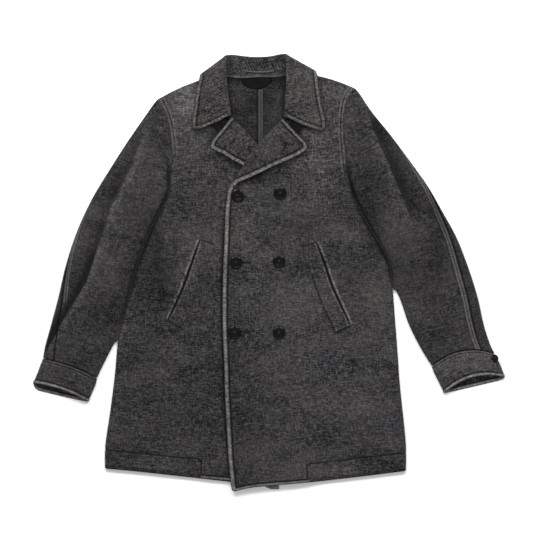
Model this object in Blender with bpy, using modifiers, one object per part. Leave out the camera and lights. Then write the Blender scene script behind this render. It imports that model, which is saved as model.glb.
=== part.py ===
"""Men's double-breasted pea coat in boiled wool, laid flat on its back.

Metres, +Z up.  The coat lies on the floor plane z = 0 with its front upwards, its hem towards -Y
and its collar towards +Y.  Left and right are the wearer's: the wearer's left front laps over the
right one and lies at +X.  The tables below are in millimetres, one row for each section.
"""
import math

import bmesh
import bpy
import numpy as np
from mathutils import Vector

MM = 0.001

# Cloth
CLOTH = 4.0  # melton with the lining that backs it
SLEEVE_CLOTH = 3.5
COLLAR_CLOTH = 3.6
LAPEL_CLOTH = 3.2  # front and facing turned back and pressed
WELT_CLOTH = 2.6
TRIM_CLOTH = 0.9  # label and seam tape
SEAM_GAP = 0.8  # between two pieces sewn edge to edge
SLEEVE_SEAM_GAP = 1.0
BEND_WEIGHT = 26.0  # how strongly a sleeve's columns gather at its folds, mm for a radian
LAY_GAP = 0.5  # between a piece and the panel that it lies on
LAPEL_GAP = 1.1  # under a lapel or a pocket welt, which press less
BUTTON_GAP = 0.7

# Heights of the coat as it lies
SIDE_RADIUS = 6.0  # roll of the side fold
BODY_TOP = 2 * SIDE_RADIUS  # top of a single front over the back
CENTRE_X = -24.0  # centre back seam
CENTRE_CROWN = 1.6
CROWN_WIDTH = 130.0
CROWN_END_Y = 400.0
CROWN_FADE = 60.0
NECK_LIFT = 4.6  # back neck resting on the collar's fall
NECK_LIFT_FROM_Y = 330.0
NECK_LIFT_FADE_Y = 54.0
NECK_LIFT_RIGHT_X = -210.0
NECK_LIFT_LEFT_X = 165.0
NECK_LIFT_FADE_X = 80.0
LAP_LIFT = 4.7  # left front over the right front
LAP_END_X = 108.0
LAP_FADE_X = 58.0
LAP_END_Y = 340.0
LAP_FADE_Y = 100.0
LAPEL_LIFT = 7.4  # left front over the right lapel
LAPEL_LIFT_LINE = (-40, 245, 14, 186)
LAPEL_LIFT_WIDTH = 44.0

# Side fold
TUCK = 26.0  # underside run from the side fold to the side seam
SIDE_STEP = 2.0  # least distance between columns at the side fold
UNDERARM_ROWS = 2.6  # table rows over which the side seam climbs to the underarm
GORGE_MARGIN = 3.0
ARMHOLE_ANGLE = math.radians(35)  # slope of the front where it meets the sleeve
SHOULDER_RADIUS = 5.2  # roll of the shoulder fold, front and back alike
SHOULDER_TURNS = (0, 27, 54, 76, 90)  # degrees round the shoulder fold, one row each
SHOULDER_BOW = 7.0  # fullness of the shoulder line
SHOULDER_FLAT = 0.3  # share of the roll left where the fold opens out at the neck
SHOULDER_OPEN_FROM = 5.0  # distance from the neck point at which the fold lies open
SHOULDER_OPEN_RUN = 34.0
SHOULDER_ROW = 0.965  # share of the height at the row next to the shoulder fold
SHOULDER_EASE = 0.16  # share of the height over which the rows take up the shoulder line
NECK_EASE = 0.22  # the same for the back's neckline
NECK_CLEARANCE = 1.5  # panels to the collar's seam

# Fronts, hem to underarm: the side fold and the front edge
RIGHT_FRONT_ROWS = [
    # side_x, side_y, edge_x, edge_y
    (-346, -407, 38, -441),
    (-345, -359, 38, -391),
    (-334, -283, 39, -317),
    (-326, -210, 42, -244),
    (-317, -139, 44, -170),
    (-300, -67, 46, -92),
    (-281, 10, 44, -13),
    (-256, 80, 42, 61),
]
LEFT_FRONT_ROWS = [
    (286, -414, -80, -459),
    (286, -363, -87, -395),
    (281, -307, -91, -328),
    (273, -231, -95, -254),
    (268, -160, -97, -181),
    (263, -97, -100, -107),
    (258, -45, -100, -40),
    (250, -5, -99, 10),
    (248, 30, -97, 50),
    (230, 62, -95, 92),
    (199, 113, -91, 140),
]
# Fronts, underarm to shoulder: the armhole seam, and the roll line and then the neck seam
RIGHT_ARMHOLE_ROWS = [
    # armhole_x, armhole_y, edge_x, edge_y, inset of the panel from the roll
    (-225, 147, 40, 134, 4),
    (-214, 178, 33, 178, 8),
    (-207, 229, -2, 240, 8.5),
    (-208, 271, -42, 290, 8.5),
    (-214, 313, -82, 333, 14),
    (-223, 340, -97, 366, 8.5),
    (-237, 363, -108, 414, 8.5),
]
LEFT_ARMHOLE_ROWS = [
    (178, 160, -87, 171, 5),
    (165, 204, -66, 216, 8.5),
    (160, 254, -36, 257, 8.5),
    (156, 307, -3, 296, 8.5),
    (159, 349, 29, 329, 14),
    (166, 371, 46, 360, 8.5),
    (178, 385, 58, 417, 8.5),
]
RIGHT_HEM_BOW = -4.0
LEFT_HEM_BOW = 4.0

# Back
BACK_HEM_Y = -444.0
RIGHT_NECK_POINT = (-108, 414)
LEFT_NECK_POINT = (58, 417)
VENT_TOP_Y = -225.0
VENT_CLOTH = 3.0
VENT_FROM_X = -36.0
VENT_TO_X = 19.0
VENT_TIP_DROP = 8.0  # how far the underlap's corner slips out below the hem
VENT_TIP_FROM_X = -20.0
VENT_TIP_RUN = 24.0

# Sleeves, armhole to cuff seam
RIGHT_SLEEVE_ROWS = [
    # outer_x, outer_y, inner_x, inner_y, bow_top, bow_under, height, seam
    (-238.3, 362.2, -225.7, 147.2, 0, 0, 11, -26),
    (-266, 330, -240, 126, 0, 0, 15, -22),
    (-299, 279, -255, 92, 0, 0, 20, -18),
    (-338, 218, -270, 55, 0, 0, 23, -14),
    (-373, 160, -284, 10, 0, 0, 25, -8),
    (-404, 94, -297, -38, 0, 0, 26, 0),
    (-428, 22, -310, -92, 0, 0, 26, 8),
    (-445, -50, -323, -129, 0, 0, 25, 17),
    (-461, -110, -343, -170, 3, 0, 23, 24),
    (-471, -150, -356, -199, 5, 0, 21, 28),
    (-474, -177, -365, -217, 6, 2, 19, 30),
]
LEFT_SLEEVE_ROWS = [
    (179.8, 383.5, 178.7, 160.2, 0, 0, 11, -20),
    (212, 338, 191, 136, 0, 0, 15, -16),
    (248, 291, 208, 107, 0, 0, 20, -10),
    (290, 236, 226, 79, 0, 0, 23, -4),
    (330, 183, 242, 55, 0, 0, 25, 2),
    (363, 130, 255, 22, 0, 0, 26, 8),
    (392, 77, 263, -17, 0, 0, 26, 13),
    (416, 16, 275, -57, 0, 0, 25, 15),
    (436, -47, 289, -99, 4, 0, 24, 17),
    (449, -105, 305, -134, 10, 0, 22, 21),
    (462, -146, 325, -170, 17, 0, 20, 25),
    (472, -167, 340, -193, 20, 0, 19, 27),
]
RIGHT_CUFF_ROWS = [
    # outer_x, outer_y, inner_x, inner_y, bow_top, bow_under, height
    (-474.2, -178, -365.2, -218, 6, 2, 20.5),
    (-480, -190, -368, -230, 6, 0, 22),
    (-488, -209, -376, -248, 6, -4, 22),
    (-496, -228, -384, -266, 7, -9, 21),
]
LEFT_CUFF_ROWS = [
    (472.6, -168, 340.5, -194.1, 20, 0, 20.5),
    (479, -180, 346, -207, 20, 0, 22),
    (488, -198, 357, -228, 19, 0, 22),
    (496, -216, 368, -247, 18, -1, 21),
]
SLEEVE_SIDE = 6.0  # height at which a sleeve is widest
SLEEVE_UNDER_ROUND = 1.1  # rounding beneath the side, as a share of its height
FLAT_SLEEVE = 9.0  # height below which a sleeve's top is flat
FULL_SLEEVE = 24.0  # height above which it rounds right over
RING_POINTS = 96
INNER_SEAM_TUCK = 25.0  # underside run from the inner fold to the sleeve's inner seam
ARM_BLEND = 0.42  # share of the sleeve over which the armhole's curve straightens
LEAST_SLANT = 0.3  # keeps the fold's rolls where a section runs nearly along a fold

# Lapels, gorge to break: height on the roll line, outer edge and mid-cloth radius of the roll
RIGHT_LAPEL_ROWS = [
    # roll_y, edge_x, edge_y, roll
    (332, -126, 274, 3.6),
    (325, -125, 263, 3.6),
    (313, -101, 251, 3.6),
    (299, -82, 239, 3.4),
    (285, -63, 229, 3.0),
    (266, -44, 217, 2.6),
    (246, -27, 205, 2.6),
    (227, -10, 197, 2.6),
    (204, 7, 187, 2.6),
    (182, 25, 172, 2.6),
]
LEFT_LAPEL_ROWS = [
    (326, 80, 269, 3.8),
    (320, 77, 260, 3.8),
    (309, 59, 248, 3.8),
    (294, 38, 237, 3.8),
    (281, 15, 227, 3.8),
    (269, -4, 218, 3.8),
    (254, -25, 208, 3.8),
    (237, -42, 200, 3.6),
    (218, -57, 193, 3.4),
    (204, -68, 187, 3.0),
    (190, -79, 178, 2.6),
]

LAPEL_SETTLE = 26.0  # distance from the roll at which a lapel lies down on the front
LAPEL_TURN_UP = 1.2  # straight edge of a lapel inside the roll, next to the front's edge

# Collar, right gorge round the back neck to the left gorge
COLLAR_ROWS = [
    # seam_x, seam_y, roll_x, roll_y, edge_x, edge_y, facing (1 fall on top, -1 fall beneath)
    (-91, 336, -81, 337, -162, 303, 1.0),
    (-95, 352, -84, 353, -162, 326, 1.0),
    (-100, 371, -87, 376, -158, 351, 1.0),
    (-104, 390, -90, 399, -154, 374, 1.0),
    (-107, 405, -91, 422, -151, 392, 0.97),
    (-107, 412, -90, 441, -148, 406, 0.85),
    (-105, 418, -86, 454, -143, 416, 0.0),
    (-98, 415, -78, 458, -137, 405, -0.85),
    (-86, 412, -68, 458, -112, 395, -0.97),
    (-60, 410, -47, 456, -70, 386, -1.0),
    (-24, 412, -24, 456, -24, 384, -1.0),
    (12, 412, 0, 456, 24, 388, -1.0),
    (36, 416, 18, 459, 60, 398, -0.97),
    (49, 419, 25, 460, 88, 412, -0.85),
    (56, 421, 30, 459, 95, 424, 0.0),
    (58, 415, 33, 445, 99, 413, 0.85),
    (57, 407, 34, 426, 102, 396, 0.97),
    (54, 396, 34, 402, 105, 378, 1.0),
    (49, 375, 32, 377, 109, 353, 1.0),
    (44, 355, 31, 354, 116, 323, 1.0),
    (38, 333, 29, 333, 113, 301, 1.0),
]
COLLAR_ROLL = 3.4
RIGHT_NECK_ROW = 6  # the collar's rows at the shoulder seams
LEFT_NECK_ROW = 14

# Pockets: the welt's side towards the side seam, and its width towards the front edge
RIGHT_WELT_ROWS = [
    # mouth_x, mouth_y, width
    (-146, 73, 33),
    (-166, 12, 30),
    (-187, -44, 29),
    (-215, -100, 30),
]
LEFT_WELT_ROWS = [
    (96, 68, 33),
    (114, 18, 32),
    (131, -31, 33),
    (169, -110, 36),
]

# Trims and buttons
LABEL_TOP_Y = 407.0
LABEL_HALF_WIDTH = 31.0
LABEL_DROP = 21.0
TAPE_X = -20.0
TAPE_WIDTH = 7.0
TAPE_TOP_Y = 382.0
TAPE_END_Y = 262.0
LOOP_HALF_SPAN = 31.0
LOOP_Y = 424.0
LOOP_RADIUS = 1.7
LOOP_SAG = 3.0
LOOP_STAND_OFF = 1.6
FRONT_BUTTON_RADIUS = 13.5
CUFF_BUTTON_RADIUS = 8.0
BUTTON_HEIGHT = 4.6
BUTTON_PROFILE = [
    # share of the radius, share of the height
    (0.0, 0.62),
    (0.59, 0.62),
    (0.74, 0.92),
    (0.88, 1.0),
    (1.0, 0.62),
    (0.86, 0.0),
    (0.0, 0.0),
]
FRONT_BUTTON_STEPS = 16
CUFF_BUTTON_STEPS = 14
CUFF_BUTTON_PLACE = (0.25, 14.0)  # share of the cuff's length, distance in from its outer fold
BUTTON_PLACES = [
    (-68, 165), (-71, 25), (-74, -122),
    (21, 170), (19, 27), (19, -123),
]

# Main folds of the cloth: long soft troughs (depth below zero) and ridges
FOLDS = [
    # x1, y1, x2, y2, width, depth
    (-245, 340, -345, 130, 20, 3.2),
    (-345, 130, -372, 30, 22, 3.0),
    (-262, 300, -330, 170, 14, -2.4),
    (-420, -60, -448, -140, 12, -2.8),
    (-405, -40, -430, -135, 12, 2.4),
    (222, 340, 262, 205, 13, -3.4),
    (262, 205, 300, 95, 17, -2.6),
    (250, 345, 318, 190, 17, 2.6),
    (268, 150, 262, 60, 12, -2.0),
    (300, 20, 360, -120, 20, 2.0),
    (-186, 110, -188, 10, 16, -1.4),
    (-240, 100, -238, -10, 18, -1.2),
    (118, 260, 148, 150, 22, -1.2),
]


def smooth(value):
    """Rises from 0 to 1 with level ends as value goes from 0 to 1."""
    value = min(1.0, max(0.0, value))
    return value * value * (3 - 2 * value)


def bulge(share):
    """0 at both ends of a line and 1 halfway."""
    return 4 * share * (1 - share)


def spline(rows, share):
    """The row at a share of the table's length, on a smooth curve through all the rows."""
    table = np.array(rows, dtype=float)
    last = len(table) - 1
    place = min(max(share, 0.0), 1.0) * last
    index = min(int(place), last - 1)
    t = place - index
    p1, p2 = table[index], table[index + 1]
    p0 = table[index - 1] if index > 0 else 2 * p1 - p2
    p3 = table[index + 2] if index + 2 <= last else 2 * p2 - p1
    bend = 2 * p1 + (p2 - p0) * t + (2 * p0 - 5 * p1 + 4 * p2 - p3) * t**2
    return 0.5 * (bend + (3 * p1 - p0 - 3 * p2 + p3) * t**3)


def spread(count, start=0.0, end=1.0):
    """Count + 1 even shares from start to end."""
    return [start + (end - start) * i / count for i in range(count + 1)]


def segment_distance(x, y, x1, y1, x2, y2):
    """Distance from a point to a straight stretch."""
    dx, dy = x2 - x1, y2 - y1
    share = ((x - x1) * dx + (y - y1) * dy) / (dx * dx + dy * dy)
    near = min(1.0, max(0.0, share))
    return math.hypot(x - x1 - near * dx, y - y1 - near * dy)


def fold_height(x, y):
    """Rise of the cloth in its main folds."""
    rise = 0.0
    for x1, y1, x2, y2, width, depth in FOLDS:
        distance = segment_distance(x, y, x1, y1, x2, y2)
        rise += depth * math.exp(-((distance / width) ** 2))
    return rise


def neck_lift(x, y):
    """Rise of the back and the shoulders where the collar's fall lies beneath them."""
    along = smooth((y - NECK_LIFT_FROM_Y) / NECK_LIFT_FADE_Y)
    right_end = smooth((x - NECK_LIFT_RIGHT_X) / NECK_LIFT_FADE_X)
    left_end = smooth((NECK_LIFT_LEFT_X - x) / NECK_LIFT_FADE_X)
    return NECK_LIFT * along * left_end * right_end


def body_top(x, y):
    """Top of the right front, or of either front where it lies singly on the back."""
    crown = CENTRE_CROWN * math.exp(-(((x - CENTRE_X) / CROWN_WIDTH) ** 2))
    crown *= smooth((CROWN_END_Y - y) / CROWN_FADE)
    return BODY_TOP + crown + neck_lift(x, y) + fold_height(x, y)


def left_front_top(x, y):
    """Top of the left front, which laps over the right front and its lapel."""
    lap = LAP_LIFT * smooth((LAP_END_X - x) / LAP_FADE_X) * smooth((LAP_END_Y - y) / LAP_FADE_Y)
    distance = segment_distance(x, y, *LAPEL_LIFT_LINE)
    lapel = LAPEL_LIFT * math.exp(-((distance / LAPEL_LIFT_WIDTH) ** 2))
    return body_top(x, y) + lap + lapel


def back_top(x, y):
    """Top of the back panels, the side that shows inside the neck."""
    return CLOTH + neck_lift(x, y)


def cloth_material(name, colour, roughness, metallic=0.0):
    """A plain finish for a piece."""
    material = bpy.data.materials.new(name)
    material.use_nodes = True
    shader = material.node_tree.nodes["Principled BSDF"]
    shader.inputs["Base Color"].default_value = (*colour, 1.0)
    shader.inputs["Roughness"].default_value = roughness
    shader.inputs["Metallic"].default_value = metallic
    return material


def keep(collection, name, mesh, material):
    """Put a finished mesh in the coat's collection under its own name."""
    piece = bpy.data.objects.new(name, mesh)
    mesh.materials.append(material)
    collection.objects.link(piece)
    return piece


def loft(name, grid):
    """An open surface through rows of points in millimetres."""
    columns = len(grid[0])
    points = [(x * MM, y * MM, z * MM) for row in grid for x, y, z in row]
    faces = []
    for row in range(len(grid) - 1):
        for column in range(columns - 1):
            corner = row * columns + column
            faces.append((corner, corner + 1, corner + columns + 1, corner + columns))
    mesh = bpy.data.meshes.new(name)
    mesh.from_pydata(points, [], faces)
    mesh.shade_smooth()
    return mesh


def cloth_panel(collection, name, grid, wall, material, side=-1.0):
    """A lofted panel given its wall, inwards from the side that its faces point to."""
    piece = keep(collection, name, loft(name, grid), material)
    solid = piece.modifiers.new("Wall", "SOLIDIFY")
    solid.thickness = wall * MM
    solid.offset = side
    solid.use_quality_normals = True
    solid.use_rim = True
    return piece


def toward(start, end, distance):
    """The point at a distance from start in the direction of end."""
    run = math.hypot(end[0] - start[0], end[1] - start[1])
    share = distance / run
    return start[0] + (end[0] - start[0]) * share, start[1] + (end[1] - start[1]) * share


# --- Fronts and back -------------------------------------------------------------------------


def front_row(below, above, share):
    """Side point, edge point and edge inset at a share of the front's height."""
    rows = [(*row, 0) for row in below] + list(above)
    return spline(rows, share)


def front_shares(below, above, lower, upper):
    """Row shares: some below the underarm, some between it and the shoulder."""
    underarm = len(below) / (len(below) + len(above) - 1)
    return spread(lower, 0, underarm)[:-1] + spread(upper, underarm, SHOULDER_ROW)


def side_wrap(below, above, share):
    """1 where the front runs round to the side seam, falling to 0 at the armhole seam."""
    step = 1.0 / (len(below) + len(above) - 1)
    underarm = len(below) * step
    return 1 - smooth((share - underarm + UNDERARM_ROWS * step) / (UNDERARM_ROWS * step))


def side_profile(wrap, rise):
    """Columns round the side fold: distance in from the fold, and share of the panel's height.

    Rise goes from 0 to 1 where the armhole's slope levels out towards the shoulder.
    """
    flat = TUCK - SIDE_RADIUS
    arc = math.pi * SIDE_RADIUS
    bare = flat + (math.pi / 2 + ARMHOLE_ANGLE) * SIDE_RADIUS
    begins = bare * (1 - wrap)
    profile = []
    for number, place in enumerate((0.0, *spread(4, flat, flat + arc), flat + arc + 14)):
        run = max(place, begins + number * SIDE_STEP)
        if run < flat:
            inward, height = TUCK - run, 0.0
        elif run < flat + arc:
            angle = (run - flat) / SIDE_RADIUS - math.pi / 2
            inward = SIDE_RADIUS * (1 - math.cos(angle))
            height = (1 + math.sin(angle)) / 2
        else:
            inward, height = SIDE_RADIUS + run - flat - arc, 1.0
        profile.append((inward, height + (1 - height) * rise))
    return profile


def neck_seam_x(side, y):
    """Where the collar's seam crosses a height, on the front."""
    rows = COLLAR_ROWS[LEFT_NECK_ROW:] if side > 0 else COLLAR_ROWS[: RIGHT_NECK_ROW + 1]
    seam = sorted((spline(rows, share)[:2] for share in spread(40)), key=lambda point: point[1])
    return float(np.interp(y, [point[1] for point in seam], [point[0] for point in seam]))


def neck_seam_y(x):
    """Height of the collar's seam along the back neck."""
    rows = COLLAR_ROWS[RIGHT_NECK_ROW : LEFT_NECK_ROW + 1]
    seam = [spline(rows, share)[:2] for share in spread(40)]
    return float(np.interp(x, [point[0] for point in seam], [point[1] for point in seam]))


def edge_inset(below, above, share, inset):
    """A point on the front's edge, moved square to the edge into the panel."""
    sx, sy, ex, ey, _ = front_row(below, above, share)
    side = 1 if sx > 0 else -1
    gorge_y = COLLAR_ROWS[0][1] if side < 0 else COLLAR_ROWS[-1][1]
    if ey > gorge_y + GORGE_MARGIN:
        return neck_seam_x(side, ey) + side * NECK_CLEARANCE, ey
    _, _, ax, ay, _ = front_row(below, above, min(1.0, share + 0.01))
    _, _, bx, by, _ = front_row(below, above, max(0.0, share - 0.01))
    run = math.hypot(ax - bx, ay - by)
    across = ((ay - by) / run, -(ax - bx) / run)
    sign = 1 if across[0] * (sx - ex) + across[1] * (sy - ey) > 0 else -1
    return ex + sign * across[0] * inset, ey + sign * across[1] * inset


def shoulder_fold(side, x, turn):
    """How far in from the shoulder line, and how far round in height, a row of the fold lies.

    The fold opens out flat beside the neck point, where the collar's stand passes.
    """
    neck_x = LEFT_NECK_POINT[0] if side > 0 else RIGHT_NECK_POINT[0]
    from_neck = (x - neck_x) * side - SHOULDER_OPEN_FROM
    curl = max(0.02, smooth(from_neck / SHOULDER_OPEN_RUN))
    radius = SHOULDER_RADIUS * (1 - SHOULDER_FLAT + SHOULDER_FLAT / curl)
    angle, whole = math.radians(turn) * curl, math.pi / 2 * curl
    return radius * (math.sin(whole) - math.sin(angle)), radius * (1 - math.cos(angle))


def front_grid(below, above, hem_bow, top, lower, upper, across):
    """Rows of the front's outer surface, hem to shoulder, side seam to front edge."""
    step = 1.0 / (len(below) + len(above) - 1)
    shares = front_shares(below, above, lower, upper)
    side = 1 if below[0][0] > 0 else -1

    def plan_row(share):
        sx, sy, _, _, inset = front_row(below, above, share)
        end = edge_inset(below, above, share, max(0.0, inset))
        hem = hem_bow * max(0.0, 1 - share / step)
        ease = smooth((share - 1 + SHOULDER_EASE) / SHOULDER_EASE)
        profile = side_profile(side_wrap(below, above, share), ease)
        run = math.hypot(end[0] - sx, end[1] - sy)
        begun = profile[-1][0]
        profile += [(begun + (run - begun) * column, 1.0) for column in spread(across)[1:]]
        row = []
        for inward, height in profile:
            x, y = toward((sx, sy), end, inward)
            part = inward / run
            y += hem * 6.75 * part**2 * (1 - part) + SHOULDER_BOW * ease * bulge(part)
            z = top(*toward((sx, sy), end, max(inward, SIDE_RADIUS))) * height
            row.append((x, y, z))
        return row

    grid = [plan_row(share) for share in shares]
    line, near = plan_row(1.0), grid[-1]
    for turn in SHOULDER_TURNS:
        row = []
        for (x, y, z), (near_x, near_y, _) in zip(line, near):
            inward, drop = shoulder_fold(side, x, turn)
            seam = neck_lift(x, y) + 2 * SIDE_RADIUS - SHOULDER_RADIUS
            across_x = (x - near_x) / (y - near_y) * inward
            row.append((x - across_x, y - inward, z - drop * (z - seam) / SHOULDER_RADIUS))
        grid.append(row)
    return grid


def back_grid(side, below, above, neck, to_neck, across_neck, lower, upper):
    """Rows of one half of the back: its outer (lower) surface, side seam to centre seam."""
    shares = front_shares(below, above, lower, upper)
    top_start = front_row(below, above, 1.0)[:2]
    neck_share = (neck[0] - top_start[0]) / (CENTRE_X - top_start[0])
    columns = spread(to_neck, 0, neck_share) + spread(across_neck, neck_share, 1)[1:]
    centre_x = CENTRE_X + side * SEAM_GAP / 2
    neck_y = neck_seam_y(centre_x) - NECK_CLEARANCE

    def plan_row(share):
        sx, sy, ex, ey, _ = front_row(below, above, share)
        wrap = math.sqrt(side_wrap(below, above, share))
        start = toward((sx, sy), (ex, ey), wrap * (TUCK + SEAM_GAP))
        centre_y = BACK_HEM_Y + (neck_y - BACK_HEM_Y) * share
        peak = smooth((share - 1 + NECK_EASE) / NECK_EASE)
        row = []
        for column in columns:
            x = start[0] + (centre_x - start[0]) * column
            y = start[1] + (centre_y - start[1]) * column
            span = column / neck_share
            straight = top_start[1] + (neck_y - top_start[1]) * column
            if span < 1:
                along = top_start[1] + (neck[1] - top_start[1]) * span
                line_y = along + SHOULDER_BOW * bulge(span)
            else:
                line_y = neck_seam_y(x) - NECK_CLEARANCE
            y += peak * (line_y - straight)
            row.append((x, y, neck_lift(x, y)))
        return row

    grid = [plan_row(share) for share in shares]
    line, near = plan_row(1.0), grid[-1]
    for turn in SHOULDER_TURNS:
        row = []
        for (x, y, z), (near_x, near_y, _) in zip(line, near):
            inward, rise = shoulder_fold(side, x, turn)
            row.append((x - (x - near_x) / (y - near_y) * inward, y - inward, z + rise))
        grid.append(row)
    return grid


def vent_grid(row_count, across):
    """Lower face of the vent's underlap, which lies on the inside of the left back."""
    grid = []
    for share in spread(row_count):
        row = []
        for column in spread(across):
            x = VENT_FROM_X + (VENT_TO_X - VENT_FROM_X) * column
            hem = BACK_HEM_Y - VENT_TIP_DROP * smooth((x - VENT_TIP_FROM_X) / VENT_TIP_RUN)
            row.append((x, hem + (VENT_TOP_Y - hem) * share, CLOTH + LAY_GAP))
        grid.append(row)
    return grid


# --- Sleeves and cuffs -----------------------------------------------------------------------


def ring_outline(outer, inner, bow_top, bow_under, height, arm_bow, slants=(1.0, 1.0)):
    """Points once round a flattened sleeve, from its outer fold over the top and back beneath.

    The slants say how squarely the section crosses the outer and the inner fold.
    """
    across = (inner[0] - outer[0], inner[1] - outer[1])
    width = math.hypot(*across)
    side = 1 if outer[0] > inner[0] else -1
    up = (across[1] / width * side, -across[0] / width * side)
    full = smooth((height - FLAT_SLEEVE) / (FULL_SLEEVE - FLAT_SLEEVE))
    side_z = min(SLEEVE_SIDE, height / 2)
    shoulder = max(1.3 * (height - side_z), width / 2 * full)
    under_round = SLEEVE_UNDER_ROUND * side_z
    power = 2.0 + 0.4 * full
    points = []
    for step in range(RING_POINTS):
        turn = 2 * math.pi * step / RING_POINTS
        on_top = turn <= math.pi
        share = (1 - math.cos(turn)) / 2
        bow = (bow_top if on_top else bow_under) * bulge(share)
        lean_x, lean_y = arm_bow(share)
        x = outer[0] + across[0] * share + up[0] * bow + lean_x
        y = outer[1] + across[1] * share + up[1] * bow + lean_y
        inward = width * min(share * slants[0], (1 - share) * slants[1])
        if on_top:
            swell = (1 - max(0.0, 1 - inward / shoulder) ** power) ** (1 / power)
            z = side_z + (height - side_z + fold_height(x, y)) * swell
        else:
            swell = math.sqrt(1 - max(0.0, 1 - inward / under_round) ** 2)
            z = side_z * (1 - swell)
        points.append((x, y, z))
    return points


def along_ring(points, start, end, count):
    """Count + 1 points of a closed ring between two distances round it, closer at the bends.

    Each point may carry more values after its place, which are carried along.
    """
    ring = np.array([*points, points[0]])
    steps = np.diff(ring[:, :3], axis=0)
    lengths = np.linalg.norm(steps, axis=1)
    total = lengths.sum()
    units = steps / np.maximum(lengths, 1e-6)[:, None]
    bends = np.arccos(np.clip((units * np.roll(units, 1, axis=0)).sum(axis=1), -1, 1))
    place = np.concatenate([[0], np.cumsum(lengths)])
    weight = np.concatenate([[0], np.cumsum(lengths + BEND_WEIGHT * np.minimum(bends, 0.6))])
    three_places = np.concatenate([place - total, place[1:], place[1:] + total])
    three_weights = np.concatenate([weight - weight[-1], weight[1:], weight[1:] + weight[-1]])
    three_rings = np.concatenate([ring, ring[1:], ring[1:]])
    ends = np.interp([start, end], three_places, three_weights)
    wanted = np.interp(np.linspace(ends[0], ends[1], count + 1), three_weights, three_places)
    values = range(ring.shape[1])
    return [tuple(np.interp(w, three_places, three_rings[:, k]) for k in values) for w in wanted]


def inner_fold(points):
    """Distance round a ring from its outer fold to its inner fold."""
    half = points[: len(points) // 2 + 1]
    return sum(math.dist(a[:3], b[:3]) for a, b in zip(half, half[1:]))


def armhole_bow(armhole):
    """How far the armhole seam stands off the straight line between the sleeve's folds."""
    curve = list(reversed([row[:2] for row in armhole]))

    def bow(share):
        x, y = spline(curve, share)
        chord_x = curve[0][0] + (curve[-1][0] - curve[0][0]) * share
        chord_y = curve[0][1] + (curve[-1][1] - curve[0][1]) * share
        return x - chord_x, y - chord_y

    return bow


def sleeve_ring(rows, lean, share):
    """Points once round the sleeve at a share of its length."""
    row = spline(rows, share)
    fade = 1 - smooth(share / ARM_BLEND)

    def arm_bow(place):
        x, y = lean(place)
        return x * fade, y * fade

    ahead, behind = spline(rows, share + 0.02), spline(rows, share - 0.02)
    chord = row[2:4] - row[:2]
    slants = []
    for first, place, step in ((0, 0.0, 0.06), (2, 1.0, -0.06)):
        fold = ahead[first : first + 2] - behind[first : first + 2]
        section = chord * step + np.array(arm_bow(place + step)) - np.array(arm_bow(place))
        cross = abs(fold[0] * section[1] - fold[1] * section[0])
        slants.append(max(LEAST_SLANT, cross / np.linalg.norm(fold) / np.linalg.norm(section)))
    return ring_outline(row[:2], row[2:4], row[4], row[5], row[6], arm_bow, slants)


def sleeve_grids(rows, armhole, row_count, top_columns, under_columns):
    """Outer and inner points of the top sleeve and the under sleeve, armhole to cuff seam."""
    lean = armhole_bow(armhole)
    side = 1 if rows[0][0] > rows[0][2] else -1
    top_grid, under_grid = [], []
    for share in spread(row_count):
        seam = spline(rows, share)[7]
        ring = np.array(sleeve_ring(rows, lean, share))
        ahead = np.array(sleeve_ring(rows, lean, min(1.0, share + 0.01)))
        behind = np.array(sleeve_ring(rows, lean, max(0.0, share - 0.01)))
        round_it = np.roll(ring, -1, axis=0) - np.roll(ring, 1, axis=0)
        outwards = np.cross(round_it, ahead - behind) * side
        outwards /= np.linalg.norm(outwards, axis=1)[:, None]
        walls = [tuple(values) for values in np.hstack([ring, ring - outwards * SLEEVE_CLOTH])]
        whole = sum(math.dist(a[:3], b[:3]) for a, b in zip(walls, walls[1:] + walls[:1]))
        inner = inner_fold(walls) + INNER_SEAM_TUCK
        half_gap = SLEEVE_SEAM_GAP / 2
        top_grid.append(along_ring(walls, seam + half_gap, inner - half_gap, top_columns))
        under_ends = (inner + half_gap, whole + seam - half_gap)
        under_grid.append(along_ring(walls, *under_ends, under_columns))
    return top_grid, under_grid


def shell_mesh(name, grid):
    """A closed wall lofted from rows of points that hold their outer and inner places."""
    mesh = bpy.data.meshes.new(name)
    shape = bmesh.new()
    skins = []
    for first in (0, 3):
        skin = []
        for row in grid:
            skin.append([shape.verts.new(Vector(point[first : first + 3]) * MM) for point in row])
        skins.append(skin)
    last_row, last_column = len(grid) - 1, len(grid[0]) - 1
    for skin in skins:
        for row in range(last_row):
            for column in range(last_column):
                upper, lower = skin[row + 1], skin[row]
                shape.faces.new((lower[column], lower[column + 1], upper[column + 1], upper[column]))
    border = [(0, k) for k in range(last_column)] + [(k, last_column) for k in range(last_row)]
    border += [(last_row, last_column - k) for k in range(last_column)]
    border += [(last_row - k, 0) for k in range(last_row)]
    outside, inside = skins
    for (a, b), (c, d) in zip(border, border[1:] + border[:1]):
        shape.faces.new((outside[a][b], outside[c][d], inside[c][d], inside[a][b]))
    bmesh.ops.recalc_face_normals(shape, faces=shape.faces)
    shape.to_mesh(mesh)
    shape.free()
    mesh.shade_smooth()
    return mesh


def cuff_point(rows, share, distance):
    """A point on a cuff's top, at a distance in from its outer fold, and its outward direction."""
    ring = cuff_ring(rows, share)
    a, b = along_ring(ring, distance, distance + 4.0, 1)
    c = along_ring(cuff_ring(rows, share + 0.1), distance, distance + 4.0, 1)[0]
    normal = Vector(np.subtract(b, a)).cross(Vector(np.subtract(c, a))).normalized()
    return Vector(a), normal if normal.z > 0 else -normal


def cuff_ring(rows, share):
    """Points once round a cuff."""
    ox, oy, ix, iy, bow_top, bow_under, height = spline(rows, share)
    return ring_outline((ox, oy), (ix, iy), bow_top, bow_under, height, lambda place: (0, 0))


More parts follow.
